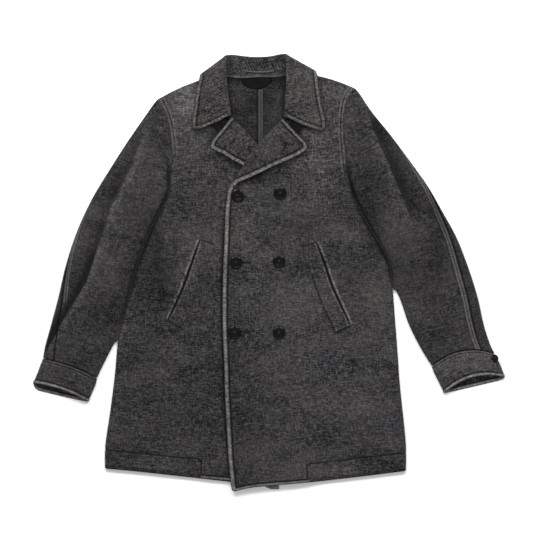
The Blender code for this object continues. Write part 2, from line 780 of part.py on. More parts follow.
def cuff_mesh(name, rows, row_count, columns):
    """A closed band round the sleeve's end."""
    mesh = bpy.data.meshes.new(name)
    shape = bmesh.new()
    loops = []
    for share in spread(row_count):
        ring = cuff_ring(rows, share)
        whole = sum(math.dist(a, b) for a, b in zip(ring, ring[1:] + ring[:1]))
        points = along_ring(ring, 0, whole, columns)[:-1]
        loops.append([shape.verts.new(Vector(p) * MM) for p in points])
    for lower, upper in zip(loops, loops[1:]):
        for k in range(columns):
            n = (k + 1) % columns
            shape.faces.new((lower[k], lower[n], upper[n], upper[k]))
    bmesh.ops.recalc_face_normals(shape, faces=shape.faces)
    shape.to_mesh(mesh)
    shape.free()
    mesh.shade_smooth()
    return mesh


# --- Collar and lapels -----------------------------------------------------------------------


def front_edge_x(below, above, y):
    """Where the front's edge or roll line crosses a height."""
    rows = [front_row(below, above, share) for share in spread(240, 0.4, 1)]
    return float(np.interp(y, [row[3] for row in rows], [row[2] for row in rows]))


def lapel_grid(rows, below, above, top, row_count, across):
    """Mid-cloth surface of a lapel: round the roll from the front's edge, then outwards."""
    half = LAPEL_CLOTH / 2
    grid = []
    for share in spread(row_count):
        ry, ex, ey, radius = spline(rows, share)
        rx = front_edge_x(below, above, ry)
        roll, edge = (rx, ry), (ex, ey)
        width = math.hypot(ex - rx, ey - ry)
        centre_in = radius + half
        base = top(*toward(roll, edge, centre_in)) - CLOTH / 2
        x, y = toward(roll, edge, centre_in + LAPEL_TURN_UP)
        row = [(x, y, base)]
        for turn in spread(4, -90, 90):
            angle = math.radians(turn)
            x, y = toward(roll, edge, centre_in - radius * math.cos(angle))
            row.append((x, y, base + radius * (1 + math.sin(angle))))
        start_z = base + 2 * radius
        run = max(width - centre_in - half, 4.0)
        for column in spread(across)[1:]:
            x, y = toward(roll, edge, centre_in + run * column)
            lying = top(x, y) + LAPEL_GAP + half
            settle = smooth(run * column / LAPEL_SETTLE)
            row.append((x, y, start_z + (lying - start_z) * settle))
        grid.append(row)
    return grid


def collar_grid(row_count, stand_columns, fall_columns):
    """Mid-cloth surface of the collar: neck seam, stand, roll and fall, gorge to gorge.

    Facing turns from 1, where the fall lies on the front, through 0 at the shoulder fold to -1,
    where it lies beneath the back.
    """
    half = COLLAR_CLOTH / 2
    grid = []
    for share in spread(row_count):
        sx, sy, rx, ry, ex, ey, facing = spline(COLLAR_ROWS, share)
        lean = min(1.0, max(-1.0, facing)) * math.pi / 2
        side = 1 if share > 0.5 else -1
        top = left_front_top if side > 0 else body_top
        seam, roll, edge = Vector((sx, sy, 0)), Vector((rx, ry, 0)), Vector((ex, ey, 0))
        along = (roll - seam).normalized()
        outward = Vector((-along.y, along.x, 0)) * -side
        apart = Vector((0, 0, math.sin(lean))) + outward * math.cos(lean)
        front = (math.sin(lean) + 1) / 2
        stand_front = top(sx, sy) - half
        stand_z = (NECK_LIFT + half) * (1 - front) + stand_front * front
        middle_z = (half + COLLAR_ROLL) * (1 - front) + (stand_front + COLLAR_ROLL) * front
        flat = roll - along * (COLLAR_ROLL + half)
        centre = Vector((flat.x, flat.y, middle_z))
        near, far = centre - apart * COLLAR_ROLL, centre + apart * COLLAR_ROLL
        start = Vector((sx, sy, stand_z))
        row = [start.lerp(near, t) for t in spread(stand_columns)[:-1]]
        for turn in spread(4, 0, 180):
            angle = math.radians(turn)
            swing = apart * (-math.cos(angle)) + along * math.sin(angle)
            row.append(centre + swing * COLLAR_ROLL)
        inset = (roll - edge).normalized() * half
        for t in spread(fall_columns)[1:]:
            point = far.lerp(edge + inset, t)
            above = top(point.x, point.y) + LAY_GAP + half
            lying = half * (1 - front) + above * front
            settle = smooth(t * 1.5)
            point.z = far.z * (1 - settle) + lying * settle
            row.append(point)
        grid.append([tuple(point) for point in row])
    return grid


# --- Pockets, trims and buttons --------------------------------------------------------------


def welt_grid(rows, side, top, row_count, across):
    """Lower face of a pocket welt, laid on the front."""
    grid = []
    for share in spread(row_count):
        x, y, width = spline(rows, share)
        ahead = spline(rows, min(1.0, share + 0.05))
        behind = spline(rows, max(0.0, share - 0.05))
        dx, dy = ahead[0] - behind[0], ahead[1] - behind[1]
        run = math.hypot(dx, dy)
        inward = (side * dy / run, -side * dx / run)
        row = []
        for column in spread(across):
            px = x + inward[0] * width * column
            py = y + inward[1] * width * column
            row.append((px, py, top(px, py) + LAPEL_GAP))
        grid.append(row)
    return grid


def tape_grid(row_count):
    """Lower face of the tape over the centre back seam."""
    grid = []
    for y in spread(row_count, TAPE_END_Y, TAPE_TOP_Y):
        row = []
        for column in (-0.5, 0.5):
            x = TAPE_X + TAPE_WIDTH * column
            row.append((x, y, back_top(x, y) + LAPEL_GAP))
        grid.append(row)
    return grid


def label_mesh():
    """A half-moon patch, flat side up: a filled curve given its thickness."""
    curve = bpy.data.curves.new("neck_label_outline", "CURVE")
    curve.dimensions = "2D"
    curve.fill_mode = "BOTH"
    curve.extrude = TRIM_CLOTH / 2 * MM
    outline = curve.splines.new("POLY")
    turns = spread(14, 180, 360)
    outline.points.add(len(turns) - 1)
    for point, turn in zip(outline.points, turns):
        angle = math.radians(turn)
        x = CENTRE_X + LABEL_HALF_WIDTH * math.cos(angle)
        y = LABEL_TOP_Y + LABEL_DROP * math.sin(angle)
        point.co = (x * MM, y * MM, 0, 1)
    outline.use_cyclic_u = True
    return curve


def curve_to_mesh(collection, name, curve, material, height):
    """Turn a curve into a closed mesh piece at a height."""
    holder = bpy.data.objects.new(name + "_curve", curve)
    holder.location.z = height * MM
    collection.objects.link(holder)
    bpy.context.view_layer.update()
    depsgraph = bpy.context.evaluated_depsgraph_get()
    mesh = bpy.data.meshes.new_from_object(holder.evaluated_get(depsgraph))
    shape = bmesh.new()
    shape.from_mesh(mesh)
    bmesh.ops.remove_doubles(shape, verts=shape.verts, dist=0.00005)
    bmesh.ops.recalc_face_normals(shape, faces=shape.faces)
    shape.to_mesh(mesh)
    shape.free()
    mesh.materials.clear()
    piece = keep(collection, name, mesh, material)
    piece.matrix_world = holder.matrix_world.copy()
    bpy.data.objects.remove(holder)
    return piece


def hanger_loop_curve():
    """The hanging loop: a cord sewn down at both ends, bowed off the collar stand."""
    curve = bpy.data.curves.new("hanger_loop_route", "CURVE")
    curve.dimensions = "3D"
    curve.bevel_depth = LOOP_RADIUS * MM
    curve.bevel_resolution = 1
    curve.use_fill_caps = True
    route = curve.splines.new("POLY")
    shares = spread(10, -1, 1)
    route.points.add(len(shares) - 1)
    for point, share in zip(route.points, shares):
        x = CENTRE_X + 2 + LOOP_HALF_SPAN * share
        y = LOOP_Y + LOOP_SAG * share**2
        z = LOOP_STAND_OFF * (1 - share**2)
        point.co = (x * MM, y * MM, z * MM, 1)
    return curve


def button_mesh(name, radius):
    """A turned button: flat back, raised rim and dished face."""
    mesh = bpy.data.meshes.new(name)
    edges = [(k, k + 1) for k in range(len(BUTTON_PROFILE) - 1)]
    points = [(radius * out * MM, 0, BUTTON_HEIGHT * up * MM) for out, up in BUTTON_PROFILE]
    mesh.from_pydata(points, edges, [])
    return mesh


def add_button(collection, name, radius, steps, place, normal, material):
    """A button on the cloth, its back towards the cloth."""
    piece = keep(collection, name, button_mesh(name, radius), material)
    turn = piece.modifiers.new("Turn", "SCREW")
    turn.axis = "Z"
    turn.steps = steps
    turn.render_steps = steps
    turn.use_merge_vertices = True
    turn.merge_threshold = 0.0001
    piece.location = Vector(place) * MM
    piece.rotation_mode = "QUATERNION"
    piece.rotation_quaternion = Vector((0, 0, 1)).rotation_difference(Vector(normal))
    return piece


def surface_normal(top, x, y):
    """Upward direction of a top surface."""
    slope_x = (top(x + 5, y) - top(x - 5, y)) / 10
    slope_y = (top(x, y + 5) - top(x, y - 5)) / 10
    return Vector((-slope_x, -slope_y, 1)).normalized()


def mirrored(grid):
    """The same rows with their columns in the other order, so that the faces turn over."""
    return [list(reversed(row)) for row in grid]


def build_coat():
    for piece in list(bpy.data.objects):
        bpy.data.objects.remove(piece, do_unlink=True)
    coat = bpy.data.collections.new("pea_coat")
    bpy.context.scene.collection.children.link(coat)

    wool = cloth_material("charcoal_wool", (0.075, 0.073, 0.078), 0.95)
    worn_wool = cloth_material("worn_charcoal_wool", (0.105, 0.100, 0.100), 0.95)
    black = cloth_material("black_label", (0.015, 0.015, 0.016), 0.6)
    tape = cloth_material("seam_tape", (0.16, 0.15, 0.15), 0.8)
    gloss = cloth_material("button_gloss", (0.012, 0.012, 0.013), 0.15)

    rows = (LEFT_FRONT_ROWS, LEFT_ARMHOLE_ROWS)
    grid = back_grid(1, *rows, LEFT_NECK_POINT, 5, 4, 12, 9)
    cloth_panel(coat, "back_left", grid, CLOTH, wool)
    grid = front_grid(*rows, LEFT_HEM_BOW, left_front_top, 12, 9, 13)
    cloth_panel(coat, "front_left", mirrored(grid), CLOTH, wool)

    rows = (RIGHT_FRONT_ROWS, RIGHT_ARMHOLE_ROWS)
    grid = back_grid(-1, *rows, RIGHT_NECK_POINT, 5, 4, 11, 9)
    cloth_panel(coat, "back_right", mirrored(grid), CLOTH, wool)
    grid = front_grid(*rows, RIGHT_HEM_BOW, body_top, 11, 9, 13)
    cloth_panel(coat, "front_right", grid, CLOTH, wool)
    cloth_panel(coat, "vent_underlap", mirrored(vent_grid(5, 5)), VENT_CLOTH, wool)

    for side, rows, armhole, cuff_rows in (
        ("right", RIGHT_SLEEVE_ROWS, RIGHT_ARMHOLE_ROWS, RIGHT_CUFF_ROWS),
        ("left", LEFT_SLEEVE_ROWS, LEFT_ARMHOLE_ROWS, LEFT_CUFF_ROWS),
    ):
        top_grid, under_grid = sleeve_grids(rows, armhole, 22, 13, 9)
        keep(coat, "top_sleeve_" + side, shell_mesh("top_sleeve_" + side, top_grid), wool)
        keep(coat, "under_sleeve_" + side, shell_mesh("under_sleeve_" + side, under_grid), wool)
        cuff = keep(coat, "cuff_" + side, cuff_mesh("cuff_" + side, cuff_rows, 4, 26), worn_wool)
        solid = cuff.modifiers.new("Wall", "SOLIDIFY")
        solid.thickness = SLEEVE_CLOTH * MM
        solid.offset = -1
        solid.use_even_offset = True

    rows = (RIGHT_FRONT_ROWS, RIGHT_ARMHOLE_ROWS)
    grid = lapel_grid(RIGHT_LAPEL_ROWS, *rows, body_top, 14, 6)
    cloth_panel(coat, "lapel_right", grid, LAPEL_CLOTH, worn_wool, side=0)
    rows = (LEFT_FRONT_ROWS, LEFT_ARMHOLE_ROWS)
    grid = lapel_grid(LEFT_LAPEL_ROWS, *rows, left_front_top, 16, 6)
    cloth_panel(coat, "lapel_left", mirrored(grid), LAPEL_CLOTH, worn_wool, side=0)
    cloth_panel(coat, "collar", collar_grid(40, 2, 6), COLLAR_CLOTH, worn_wool, side=0)

    grid = welt_grid(RIGHT_WELT_ROWS, -1, body_top, 8, 3)
    cloth_panel(coat, "pocket_welt_right", grid, WELT_CLOTH, worn_wool, side=-1)
    grid = welt_grid(LEFT_WELT_ROWS, 1, left_front_top, 8, 3)
    cloth_panel(coat, "pocket_welt_left", mirrored(grid), WELT_CLOTH, worn_wool, side=-1)

    cloth_panel(coat, "back_seam_tape", mirrored(tape_grid(8)), TRIM_CLOTH, tape, side=-1)
    label_height = back_top(CENTRE_X, LABEL_TOP_Y) + LAY_GAP + TRIM_CLOTH / 2
    curve_to_mesh(coat, "neck_label", label_mesh(), black, label_height)
    loop_height = NECK_LIFT + COLLAR_CLOTH + 2 * LAY_GAP + LOOP_RADIUS
    curve_to_mesh(coat, "hanger_loop", hanger_loop_curve(), wool, loop_height)

    for number, (x, y) in enumerate(BUTTON_PLACES, start=1):
        normal = surface_normal(left_front_top, x, y)
        place = Vector((x, y, left_front_top(x, y))) + normal * BUTTON_GAP
        size = (FRONT_BUTTON_RADIUS, FRONT_BUTTON_STEPS)
        add_button(coat, f"button_{number}", *size, place, normal, gloss)
    place, normal = cuff_point(LEFT_CUFF_ROWS, *CUFF_BUTTON_PLACE)
    place += normal * LAY_GAP
    size = (CUFF_BUTTON_RADIUS, CUFF_BUTTON_STEPS)
    add_button(coat, "cuff_button", *size, place, normal, gloss)


build_coat()
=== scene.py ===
import math

import bmesh
import bpy
import numpy as np
from mathutils import Matrix, Vector


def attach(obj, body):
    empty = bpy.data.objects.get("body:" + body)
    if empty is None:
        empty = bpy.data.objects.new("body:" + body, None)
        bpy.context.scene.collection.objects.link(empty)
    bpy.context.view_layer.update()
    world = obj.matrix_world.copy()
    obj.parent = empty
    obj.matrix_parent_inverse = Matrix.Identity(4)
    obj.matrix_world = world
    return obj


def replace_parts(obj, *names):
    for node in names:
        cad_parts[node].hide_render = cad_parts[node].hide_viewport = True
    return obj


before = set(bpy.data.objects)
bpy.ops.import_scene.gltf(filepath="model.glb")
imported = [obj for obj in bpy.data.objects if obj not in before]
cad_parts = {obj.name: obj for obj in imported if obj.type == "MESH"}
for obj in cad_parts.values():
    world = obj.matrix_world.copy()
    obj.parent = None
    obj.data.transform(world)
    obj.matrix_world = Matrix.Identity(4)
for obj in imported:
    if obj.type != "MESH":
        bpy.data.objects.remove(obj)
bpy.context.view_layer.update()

MM = 0.001

# --- Table, lamps and camera ------------------------------------------------------------------
# The coat lies face up on a plain white table. Two soft lamps hang above, beyond the collar, with a
# weak one to fill, and the camera looks straight down from far off through a long lens.

VIEW_ACROSS = 1119.3  # what the camera takes in at the height of the coat's face, mm
VIEW_MIDDLE, FACE_HEIGHT = (-7.35, 15.75), 12.0
LENS, SENSOR = 170.0, 36.0
TABLE_DROP = 0.3  # how far the table is below the coat's lowest face

bpy.ops.object.select_all(action="DESELECT")
bpy.ops.mesh.primitive_plane_add(size=16, location=(0, 0, -TABLE_DROP * MM))
table = bpy.context.object
table.name = "table"
table_white = bpy.data.materials.new("table_white")
table_white.use_nodes = True
white = table_white.node_tree.nodes["Principled BSDF"].inputs
white["Base Color"].default_value, white["Roughness"].default_value = (0.93, 0.93, 0.935, 1), 0.9
table.data.materials.append(table_white)

room = bpy.data.worlds.new("room")
room.use_nodes = True
glow = room.node_tree.nodes["Background"].inputs
glow["Color"].default_value, glow["Strength"].default_value = (0.98, 0.99, 1.0, 1), 0.45
bpy.context.scene.world = room
link = bpy.context.scene.collection.objects.link
for lamp_name, place, size, watts in (
    ("left_lamp", (-0.8, 1.45, 2.2), 1.0, 52),
    ("right_lamp", (0.7, 1.45, 2.2), 1.0, 48),
    ("fill_lamp", (0.2, -1.5, 2.3), 1.5, 14),
):
    lamp = bpy.data.lights.new(lamp_name, "AREA")
    lamp.size, lamp.energy = size, watts
    holder = bpy.data.objects.new(lamp_name, lamp)
    holder.location = place
    holder.rotation_euler = Vector((-place[0], -place[1], -place[2])).to_track_quat("-Z", "Y").to_euler()
    link(holder)

lens = bpy.data.cameras.new("camera")
lens.lens, lens.sensor_width, lens.clip_end = LENS, SENSOR, 50
camera = bpy.data.objects.new("camera", lens)
camera.location = Vector((*VIEW_MIDDLE, VIEW_ACROSS * LENS / SENSOR + FACE_HEIGHT)) * MM
link(camera)
bpy.context.scene.camera = camera
bpy.context.scene.view_settings.view_transform = "Standard"

# --- Back -------------------------------------------------------------------------------------
# The two halves of the back, cut in boiled charcoal wool and lined. They meet in the centre seam and
# run out to the side seams; their outer face lies on the table, their inner one shows in the neck.
# The tables give the plan of seams, edges, folds, worn places and painted light and shade in millimetres.

CLOTH = 4.0  # wool and the lining that backs it
SEAM_GAP = 0.8
SIDE_RADIUS = 6.0  # of the fold at the side
BODY_TOP = 2 * SIDE_RADIUS
CENTRE_X, BACK_HEM_Y = -24.0, -444.0
NECK_LIFT = 4.6  # the collar's fall lies beneath the neck and raises it
TUCK = 26.0  # how far the front runs in beneath before it meets the back
UNDERARM_ROWS = 2.6  # the tuck dies away over so many rows below the armhole
SHOULDER_RADIUS, SHOULDER_BOW = 5.2, 7.0
SHOULDER_TURNS = np.linspace(0, 90, 9)
NECK_CLEARANCE = 1.5
RIGHT_NECK_POINT, LEFT_NECK_POINT = (-108, 414), (58, 417)
NO_BEAD = 60.0  # a distance from the edge at which no swelled roll is left
ROLL_WIDTH, ROLL_RISE = 9.8, 1.5  # of a swelled edge
GROOVE_PLACE, GROOVE_DEPTH = 10.8, 1.2  # of the stitching inside it
# how far the fronts bow up in the middle, and the left one over the right front and its lapel
CROWN, LAP_RISE, LAPEL_RISE = 1.6, 4.7, 7.4
RIGHT_FRONT_ROWS = [
    # side_x, side_y, edge_x, edge_y, inset of the panel's edge
    (-347, -409, 38, -440, 0), (-346, -359, 38, -391, 0), (-335, -283, 39, -317, 0),
    (-326, -210, 42, -244, 0), (-319, -139, 44, -170, 0), (-301.5, -67, 46, -92, 0),
    (-282, 10, 44, -13, 0), (-257.5, 80, 42, 61, 0),
    # from the underarm up: the armhole seam, and the roll line and then the neck seam
    (-225, 147, 40, 134, 4), (-214, 178, 33, 178, 8), (-207, 229, -2, 240, 8.5),
    (-208, 271, -42, 290, 8.5), (-214, 313, -82, 333, 14), (-224, 341, -97, 366, 8.5),
    (-238, 366, -108, 417, 8.5),
]
LEFT_FRONT_ROWS = [
    (286, -414, -80, -459, 0), (286, -363, -87, -395, 0), (281, -307, -91, -328, 0),
    (273, -231, -95, -254, 0), (268, -160, -97, -181, 0), (263, -97, -100, -107, 0),
    (259, -45, -100, -40, 0), (254.5, -5, -99, 10, 0), (250, 30, -97, 50, 0), (232, 62.5, -95.5, 92, 0),
    (200.5, 114, -93.5, 140, 0), (178, 160, -91, 171, 5), (165, 204, -63, 216, 8.5),
    (160, 254, -36, 257, 8.5), (156, 307, -3, 296, 8.5), (159, 349, 29, 329, 14),
    (168, 374, 46, 360, 8.5), (181, 389, 58, 421, 8.5),
]
ARMHOLE_ROWS = 7  # rows of either table from the underarm up
COLLAR_ROWS = [
    # seam_x, seam_y, roll_x, roll_y, edge_x, edge_y, facing (1 fall on top, -1 fall beneath)
    (-91, 333, -81, 332, -165, 300, 1.0), (-95, 352, -84, 353, -164, 326, 1.0),
    (-100, 371, -87, 376, -160, 351, 1.0), (-104, 390, -90, 399, -157, 374, 1.0),
    (-107, 405, -92, 423, -154, 393, 0.97), (-107, 412, -94, 445, -150, 408, 0.85),
    (-105, 418, -92, 458, -147, 417, 0.0), (-98, 415, -82, 461, -140, 406, -0.85),
    (-86, 412, -68, 460, -112, 395, -0.97), (-60, 410, -47, 457.5, -70, 386, -1.0),
    (-24, 412, -24, 456.5, -24, 384, -1.0), (12, 412, 0, 458, 24, 388, -1.0),
    (36, 416, 18, 461.5, 60, 398, -0.97), (49, 419, 25, 462.5, 89, 412, -0.85),
    (56, 421, 31, 461, 97, 424.5, 0.0), (58, 415, 34, 447, 101, 414, 0.85),
    (57, 407, 34, 426, 103, 396, 0.97), (54, 396, 34, 402, 106, 378, 1.0),
    (49, 375, 32, 377, 110, 353, 1.0), (44, 355, 31, 354, 117, 323, 1.0),
    (38, 330, 29, 329, 118, 298, 1.0),
]
RIGHT_NECK_ROW, LEFT_NECK_ROW = 6, 14  # the collar's rows at the shoulder seams
FOLDS = [
    # long soft ridges and troughs (below zero): their line, width to its left and right, height
    ([(-245, 352), (-286, 232), (-332, 139), (-350, 81), (-382, -13), (-437, -106),
     (-468, -160)], 44, 6, 3.8),
    ([(-290, 245), (-342, 142), (-362, 78), (-394, -13), (-446, -104)], 5, 17, -2.2),
    ([(-250, 320), (-262, 240), (-276, 170)], 16, 16, -1.6),
    ([(-310, 60), (-352, -40), (-378, -130)], 26, 26, -1.4),
    ([(198, 353), (216, 302), (241, 246), (274, 166), (300, 107)], 6, 40, 3.4),
    ([(214, 340), (232, 288), (256, 236), (288, 158), (306, 112)], 17, 5, -2.8),
    ([(268, 150), (262, 60)], 12, 12, -2.0),
    ([(330, 120), (334, 20), (350, -60), (372, -130)], 28, 28, 2.0),
    ([(380, 60), (408, -40), (428, -120)], 16, 16, -1.8), ([(-186, 110), (-188, 10)], 16, 16, -1.4),
    ([(-240, 100), (-238, -10)], 18, 18, -1.2), ([(118, 260), (148, 150)], 22, 22, -1.2),
]
CREASES = [
    # smaller ones between them: from x, y to x, y, width, height
    (-200, 205, -176, 150, 9, -0.9), (-212, 160, -190, 96, 8, 0.7), (-222, 60, -205, -40, 12, 0.6),
    (-160, 260, -128, 190, 18, -0.7), (-120, -190, -60, -330, 26, -0.8),
    (-270, -140, -262, -330, 24, -0.9), (-215, -200, -190, -380, 22, 0.7),
    (-20, 90, -16, -60, 20, -0.5), (62, 130, 60, -40, 24, -0.6), (196, 200, 224, 110, 12, -1.0),
    (214, 128, 236, 72, 9, 0.8), (150, -160, 166, -330, 24, 0.7), (226, -120, 238, -360, 26, -0.9),
    (60, -190, 80, -360, 28, -0.6), (-285, 250, -352, 100, 9, -0.9), (-318, 60, -350, -40, 10, -0.9),
    (-372, 20, -402, -90, 12, 0.8), (-352, -60, -392, -170, 9, -0.7), (236, 330, 285, 230, 7, 0.8),
    (286, 210, 316, 110, 9, -0.9), (318, 150, 352, 40, 9, 0.8), (330, 40, 378, -60, 11, -0.8),
    (372, -30, 420, -120, 9, 0.7), (256, 100, 284, 60, 8, 1.0), (252, 84, 276, 42, 6, -1.0),
    (-251, 262, -216, 249, 5, 0.8), (-243, 232, -222, 228, 5, -0.7), (-328, 22, -290, 15, 5, 0.8),
    (-330, -12, -300, -22, 6, -0.7), (-300, 150, -262, 138, 6, 0.7), (264, -4, 304, -20, 6, 1.0),
    (268, -24, 312, -44, 6, -0.9), (262, 60, 300, 40, 7, 0.8), (290, -60, 330, -78, 7, 0.7),
]
SHADE_LINES = [
    # painted highlights on crests, painted shade (below zero) beside raised edges: line, widths, strength
    ([(-250, 345), (-286, 232), (-332, 139), (-350, 81), (-382, -13), (-437, -106), (-468, -160),
     (-500, -215)], 12, 2, 0.56),
    ([(-255, 332), (-289, 230), (-336, 137), (-354, 79), (-386, -15), (-441, -108), (-472, -165),
     (-504, -220)], 2, 24, -0.46),
    ([(-352, 78), (-385, -15), (-440, -108), (-471, -162), (-503, -217)], 1.5, 12, -0.56),
    ([(-262, 270), (-300, 160), (-332, 60), (-372, -70)], 22, 22, 0.06),
    ([(198, 353), (216, 302), (241, 246), (274, 166), (300, 107)], 2, 12, 0.46),
    ([(200, 350), (219, 300), (244, 243), (277, 163), (303, 100)], 26, 1.5, -0.70),
    ([(-216, 260), (-213, 180), (-225, 147), (-251, 92), (-282, 10), (-308, -92),
     (-318, -129)], 5, 5, -0.90), ([(-225, 147), (-251, 92), (-282, 10), (-308, -92)], 26, 26, -0.20),
    ([(161, 260), (166, 204), (179, 160), (200, 114), (222, 78), (251, 21), (256, -17),
     (262, -45)], 5, 5, -0.90), ([(166, 204), (200, 114), (251, 21), (258, -30)], 28, 28, -0.26),
    ([(-291, -40), (-304, -100), (-316, -150)], 3, 3, 0.65), ([(-236, 100), (-238, 0)], 8, 8, -0.20),
    ([(-196, 100), (-198, 0)], 7, 7, -0.20), ([(-216, 100), (-218, 10)], 7, 7, 0.14),
    ([(-217, -101), (-207, -124), (-176, -113)], 4, 4, -0.45),
    ([(-223, -104), (-210, -132), (-172, -119)], 4, 4, 0.30),
    ([(-134, 80), (-112, 62), (-140, -10)], 4, 4, 0.20),
    ([(-104, 411), (-30, 407), (46, 411)], 7, 7, -0.60),
    ([(-89, 420), (-85, 370), (-80, 325)], 8, 8, -0.45),
    ([(33, 420), (30, 370), (24, 325)], 8, 8, -0.45),
    ([(-147, 417), (-157, 374), (-165, 300)], 6, 6, -0.40),
    ([(-167, 299), (-120, 313), (-86, 329)], 8, 8, -0.80),
    ([(101, 414), (110, 353), (119, 298)], 6, 6, -0.40),
    ([(121, 296), (76, 311), (34, 329)], 8, 8, -0.80),
    ([(-95, 326), (-127, 275), (-125, 262)], 6, 6, -0.60),
    ([(-125, 262), (-82, 238), (-44, 216), (-10, 196)], 7, 7, -0.70),
    ([(38, 324), (82, 269), (78, 258)], 6, 6, -0.60),
    ([(78, 258), (38, 236), (-4, 217), (-42, 199), (-67, 187), (-80, 168)], 6, 6, -0.72),
]
SHADE_SPOTS = [
    # painted light (above zero) and shade, with some rubbed places: x, y, half width, half height,
    # strength
    (98, 232, 46, 76, 0.56), (-38, 10, 26, 110, 0.22), (70, 84, 40, 34, -0.16),
    (318, 40, 50, 110, -0.26), (-336, -70, 46, 60, -0.16), (-300, 160, 40, 60, -0.14),
    (86, 100, 40, 30, -0.16), (-216, 10, 26, 50, -0.14), (-24, 350, 40, 60, -0.14),
    (170, -30, 34, 60, -0.20), (140, -220, 90, 110, 0.10), (160, -415, 60, 10, 0.30),
    (-172, 330, 30, 60, 0.30), (-168, 374, 32, 36, 1.25), (-250, 330, 16, 24, 0.10),
    (138, 388, 40, 24, 0.34), (120, 330, 40, 70, 0.20), (-150, 230, 60, 60, 0.14),
    (353, 62, 18, 90, -0.34), (306, 84, 20, 56, 0.26), (306, -78, 24, 40, 0.24),
    (-182, -18, 18, 48, 0.14), (30, -60, 60, 190, 0.08), (150, -240, 90, 120, 0.10),
    (-232, 30, 34, 110, -0.30), (-200, -250, 90, 150, -0.06), (212, 170, 26, 90, -0.24),
    (60, 205, 26, 18, -0.20), (-44, 110, 34, 60, 0.08), (-24, 330, 60, 90, -0.34),
    (-60, -380, 26, 70, -0.16), (-101, 314, 17, 13, -1.1), (54, 306, 20, 11, -1.1),
]
WARM_SPOTS = [
    # browner (above zero) and bluer places of the dye: x, y, half width, half height, strength
    (98, 230, 50, 90, 0.8), (-62, 105, 30, 55, 0.9), (325, 60, 34, 170, 0.9), (-24, 150, 40, 30, -0.4),
    (190, 40, 50, 60, -0.6), (-250, 0, 60, 160, -0.4), (-340, -60, 60, 120, 0.3),
    (-176, -20, 22, 50, 0.9),
]


def smooth(value):
    """Rises from 0 to 1 with level ends as value goes from 0 to 1."""
    value = np.clip(value, 0.0, 1.0)
    return value * value * (3 - 2 * value)


def hump(away, width):
    """1 at a place and dying away softly on both sides of it."""
    return np.exp(-((away / width) ** 2))


def bulge(share):
    """0 at both ends of a line and 1 halfway."""
    return 4 * share * (1 - share)


def spline(rows, share):
    """Rows at shares of a table's length, on a smooth curve through all its rows."""
    table_rows = np.array(rows, float)
    ends = 2 * table_rows[0] - table_rows[1], 2 * table_rows[-1] - table_rows[-2]
    table_rows = np.vstack([ends[0], table_rows, ends[1]])
    place = np.clip(np.asarray(share, float), 0, 1) * (len(table_rows) - 3)
    index = np.minimum(place.astype(int), len(table_rows) - 4)
    t = (place - index)[..., None]
    p0, p1, p2, p3 = (table_rows[index + k] for k in range(4))
    bend = 2 * p1 + (p2 - p0) * t + (2 * p0 - 5 * p1 + 4 * p2 - p3) * t**2
    return 0.5 * (bend + (3 * p1 - p0 - 3 * p2 + p3) * t**3)


def heading(rows, share, step):
    """Which way a table's rows run on, measured a step either side of a share of its length."""
    return spline(rows, share + step) - spline(rows, share - step)


def walked_along(points):
    """How far along a line of points each of them is."""
    return np.concatenate([[0], np.cumsum(np.linalg.norm(np.diff(points, axis=0), axis=1))])


def line_distance(x, y, x1, y1, x2, y2):
    """Distance of points from a straight stretch."""
    dx, dy = x2 - x1, y2 - y1
    near = np.clip(((x - x1) * dx + (y - y1) * dy) / (dx * dx + dy * dy), 0, 1)
    return np.hypot(x - x1 - near * dx, y - y1 - near * dy)


def uneven(x, y, size):
    """A soft irregular rise and fall between about -1 and 1, size millimetres from hump to hump."""
    a, b = np.asarray(x) / size, np.asarray(y) / size
    waves = np.sin(2.1 * a + 1.3 * b + 0.7 + 1.1 * np.sin(0.9 * b - 0.4 * a))
    waves = waves + np.sin(1.2 * a - 2.3 * b + 2.1 + 1.2 * np.sin(1.1 * a + 0.5))
    return 0.5 * (waves + 0.6 * np.sin(3.4 * b + 1.9 * np.sin(1.7 * a) + 4.0)) / 1.3


def near_line(x, y, points, left, right):
    """1 on a bent line, fading on its left and its right, and towards its ends."""
    steps = [math.hypot(b[0] - a[0], b[1] - a[1]) for a, b in zip(points, points[1:])]
    best, wide, place, walked = np.inf, left, 0.0, 0.0
    for (x1, y1), (x2, y2), step in zip(points, points[1:], steps):
        dx, dy = (x2 - x1) / step, (y2 - y1) / step
        run = np.clip((x - x1) * dx + (y - y1) * dy, 0, step)
        away = np.hypot(x - x1 - run * dx, y - y1 - run * dy)
        closer = away < best
        wide = np.where(closer, np.where(dx * (y - y1) > dy * (x - x1), left, right), wide)
        place = np.where(closer, walked + run, place)
        best = np.minimum(away, best)
        walked += step
    fade = 0.1 + 0.9 * smooth(np.minimum(place, walked - place) / walked / 0.16)
    return hump(best, wide) * fade


def fold_height(x, y):
    """Rise of the cloth in its folds and creases."""
    rise = 0.0
    for points, left, right, depth in FOLDS:
        rise = rise + depth * near_line(x, y, points, left, right)
    wander = 1 + 0.45 * uneven(x, y, 21)
    for x1, y1, x2, y2, width, depth in CREASES:
        rise = rise + depth * wander * hump(line_distance(x, y, x1, y1, x2, y2), width * wander)
    return rise + 0.35 * uneven(x, y, 34)


def neck_lift(x, y):
    """Rise of the back and the shoulders where the collar's fall lies beneath them."""
    sides = smooth((x + 210) / 80) * smooth((165 - x) / 80)
    return NECK_LIFT * smooth((y - 330) / 54) * sides


def body_top(x, y):
    """Top of the right front, or of either front where it lies singly on the back."""
    crown = CROWN * hump(x - CENTRE_X, 130) * smooth((400 - y) / 60)
    return BODY_TOP + crown + neck_lift(x, y) + fold_height(x, y)


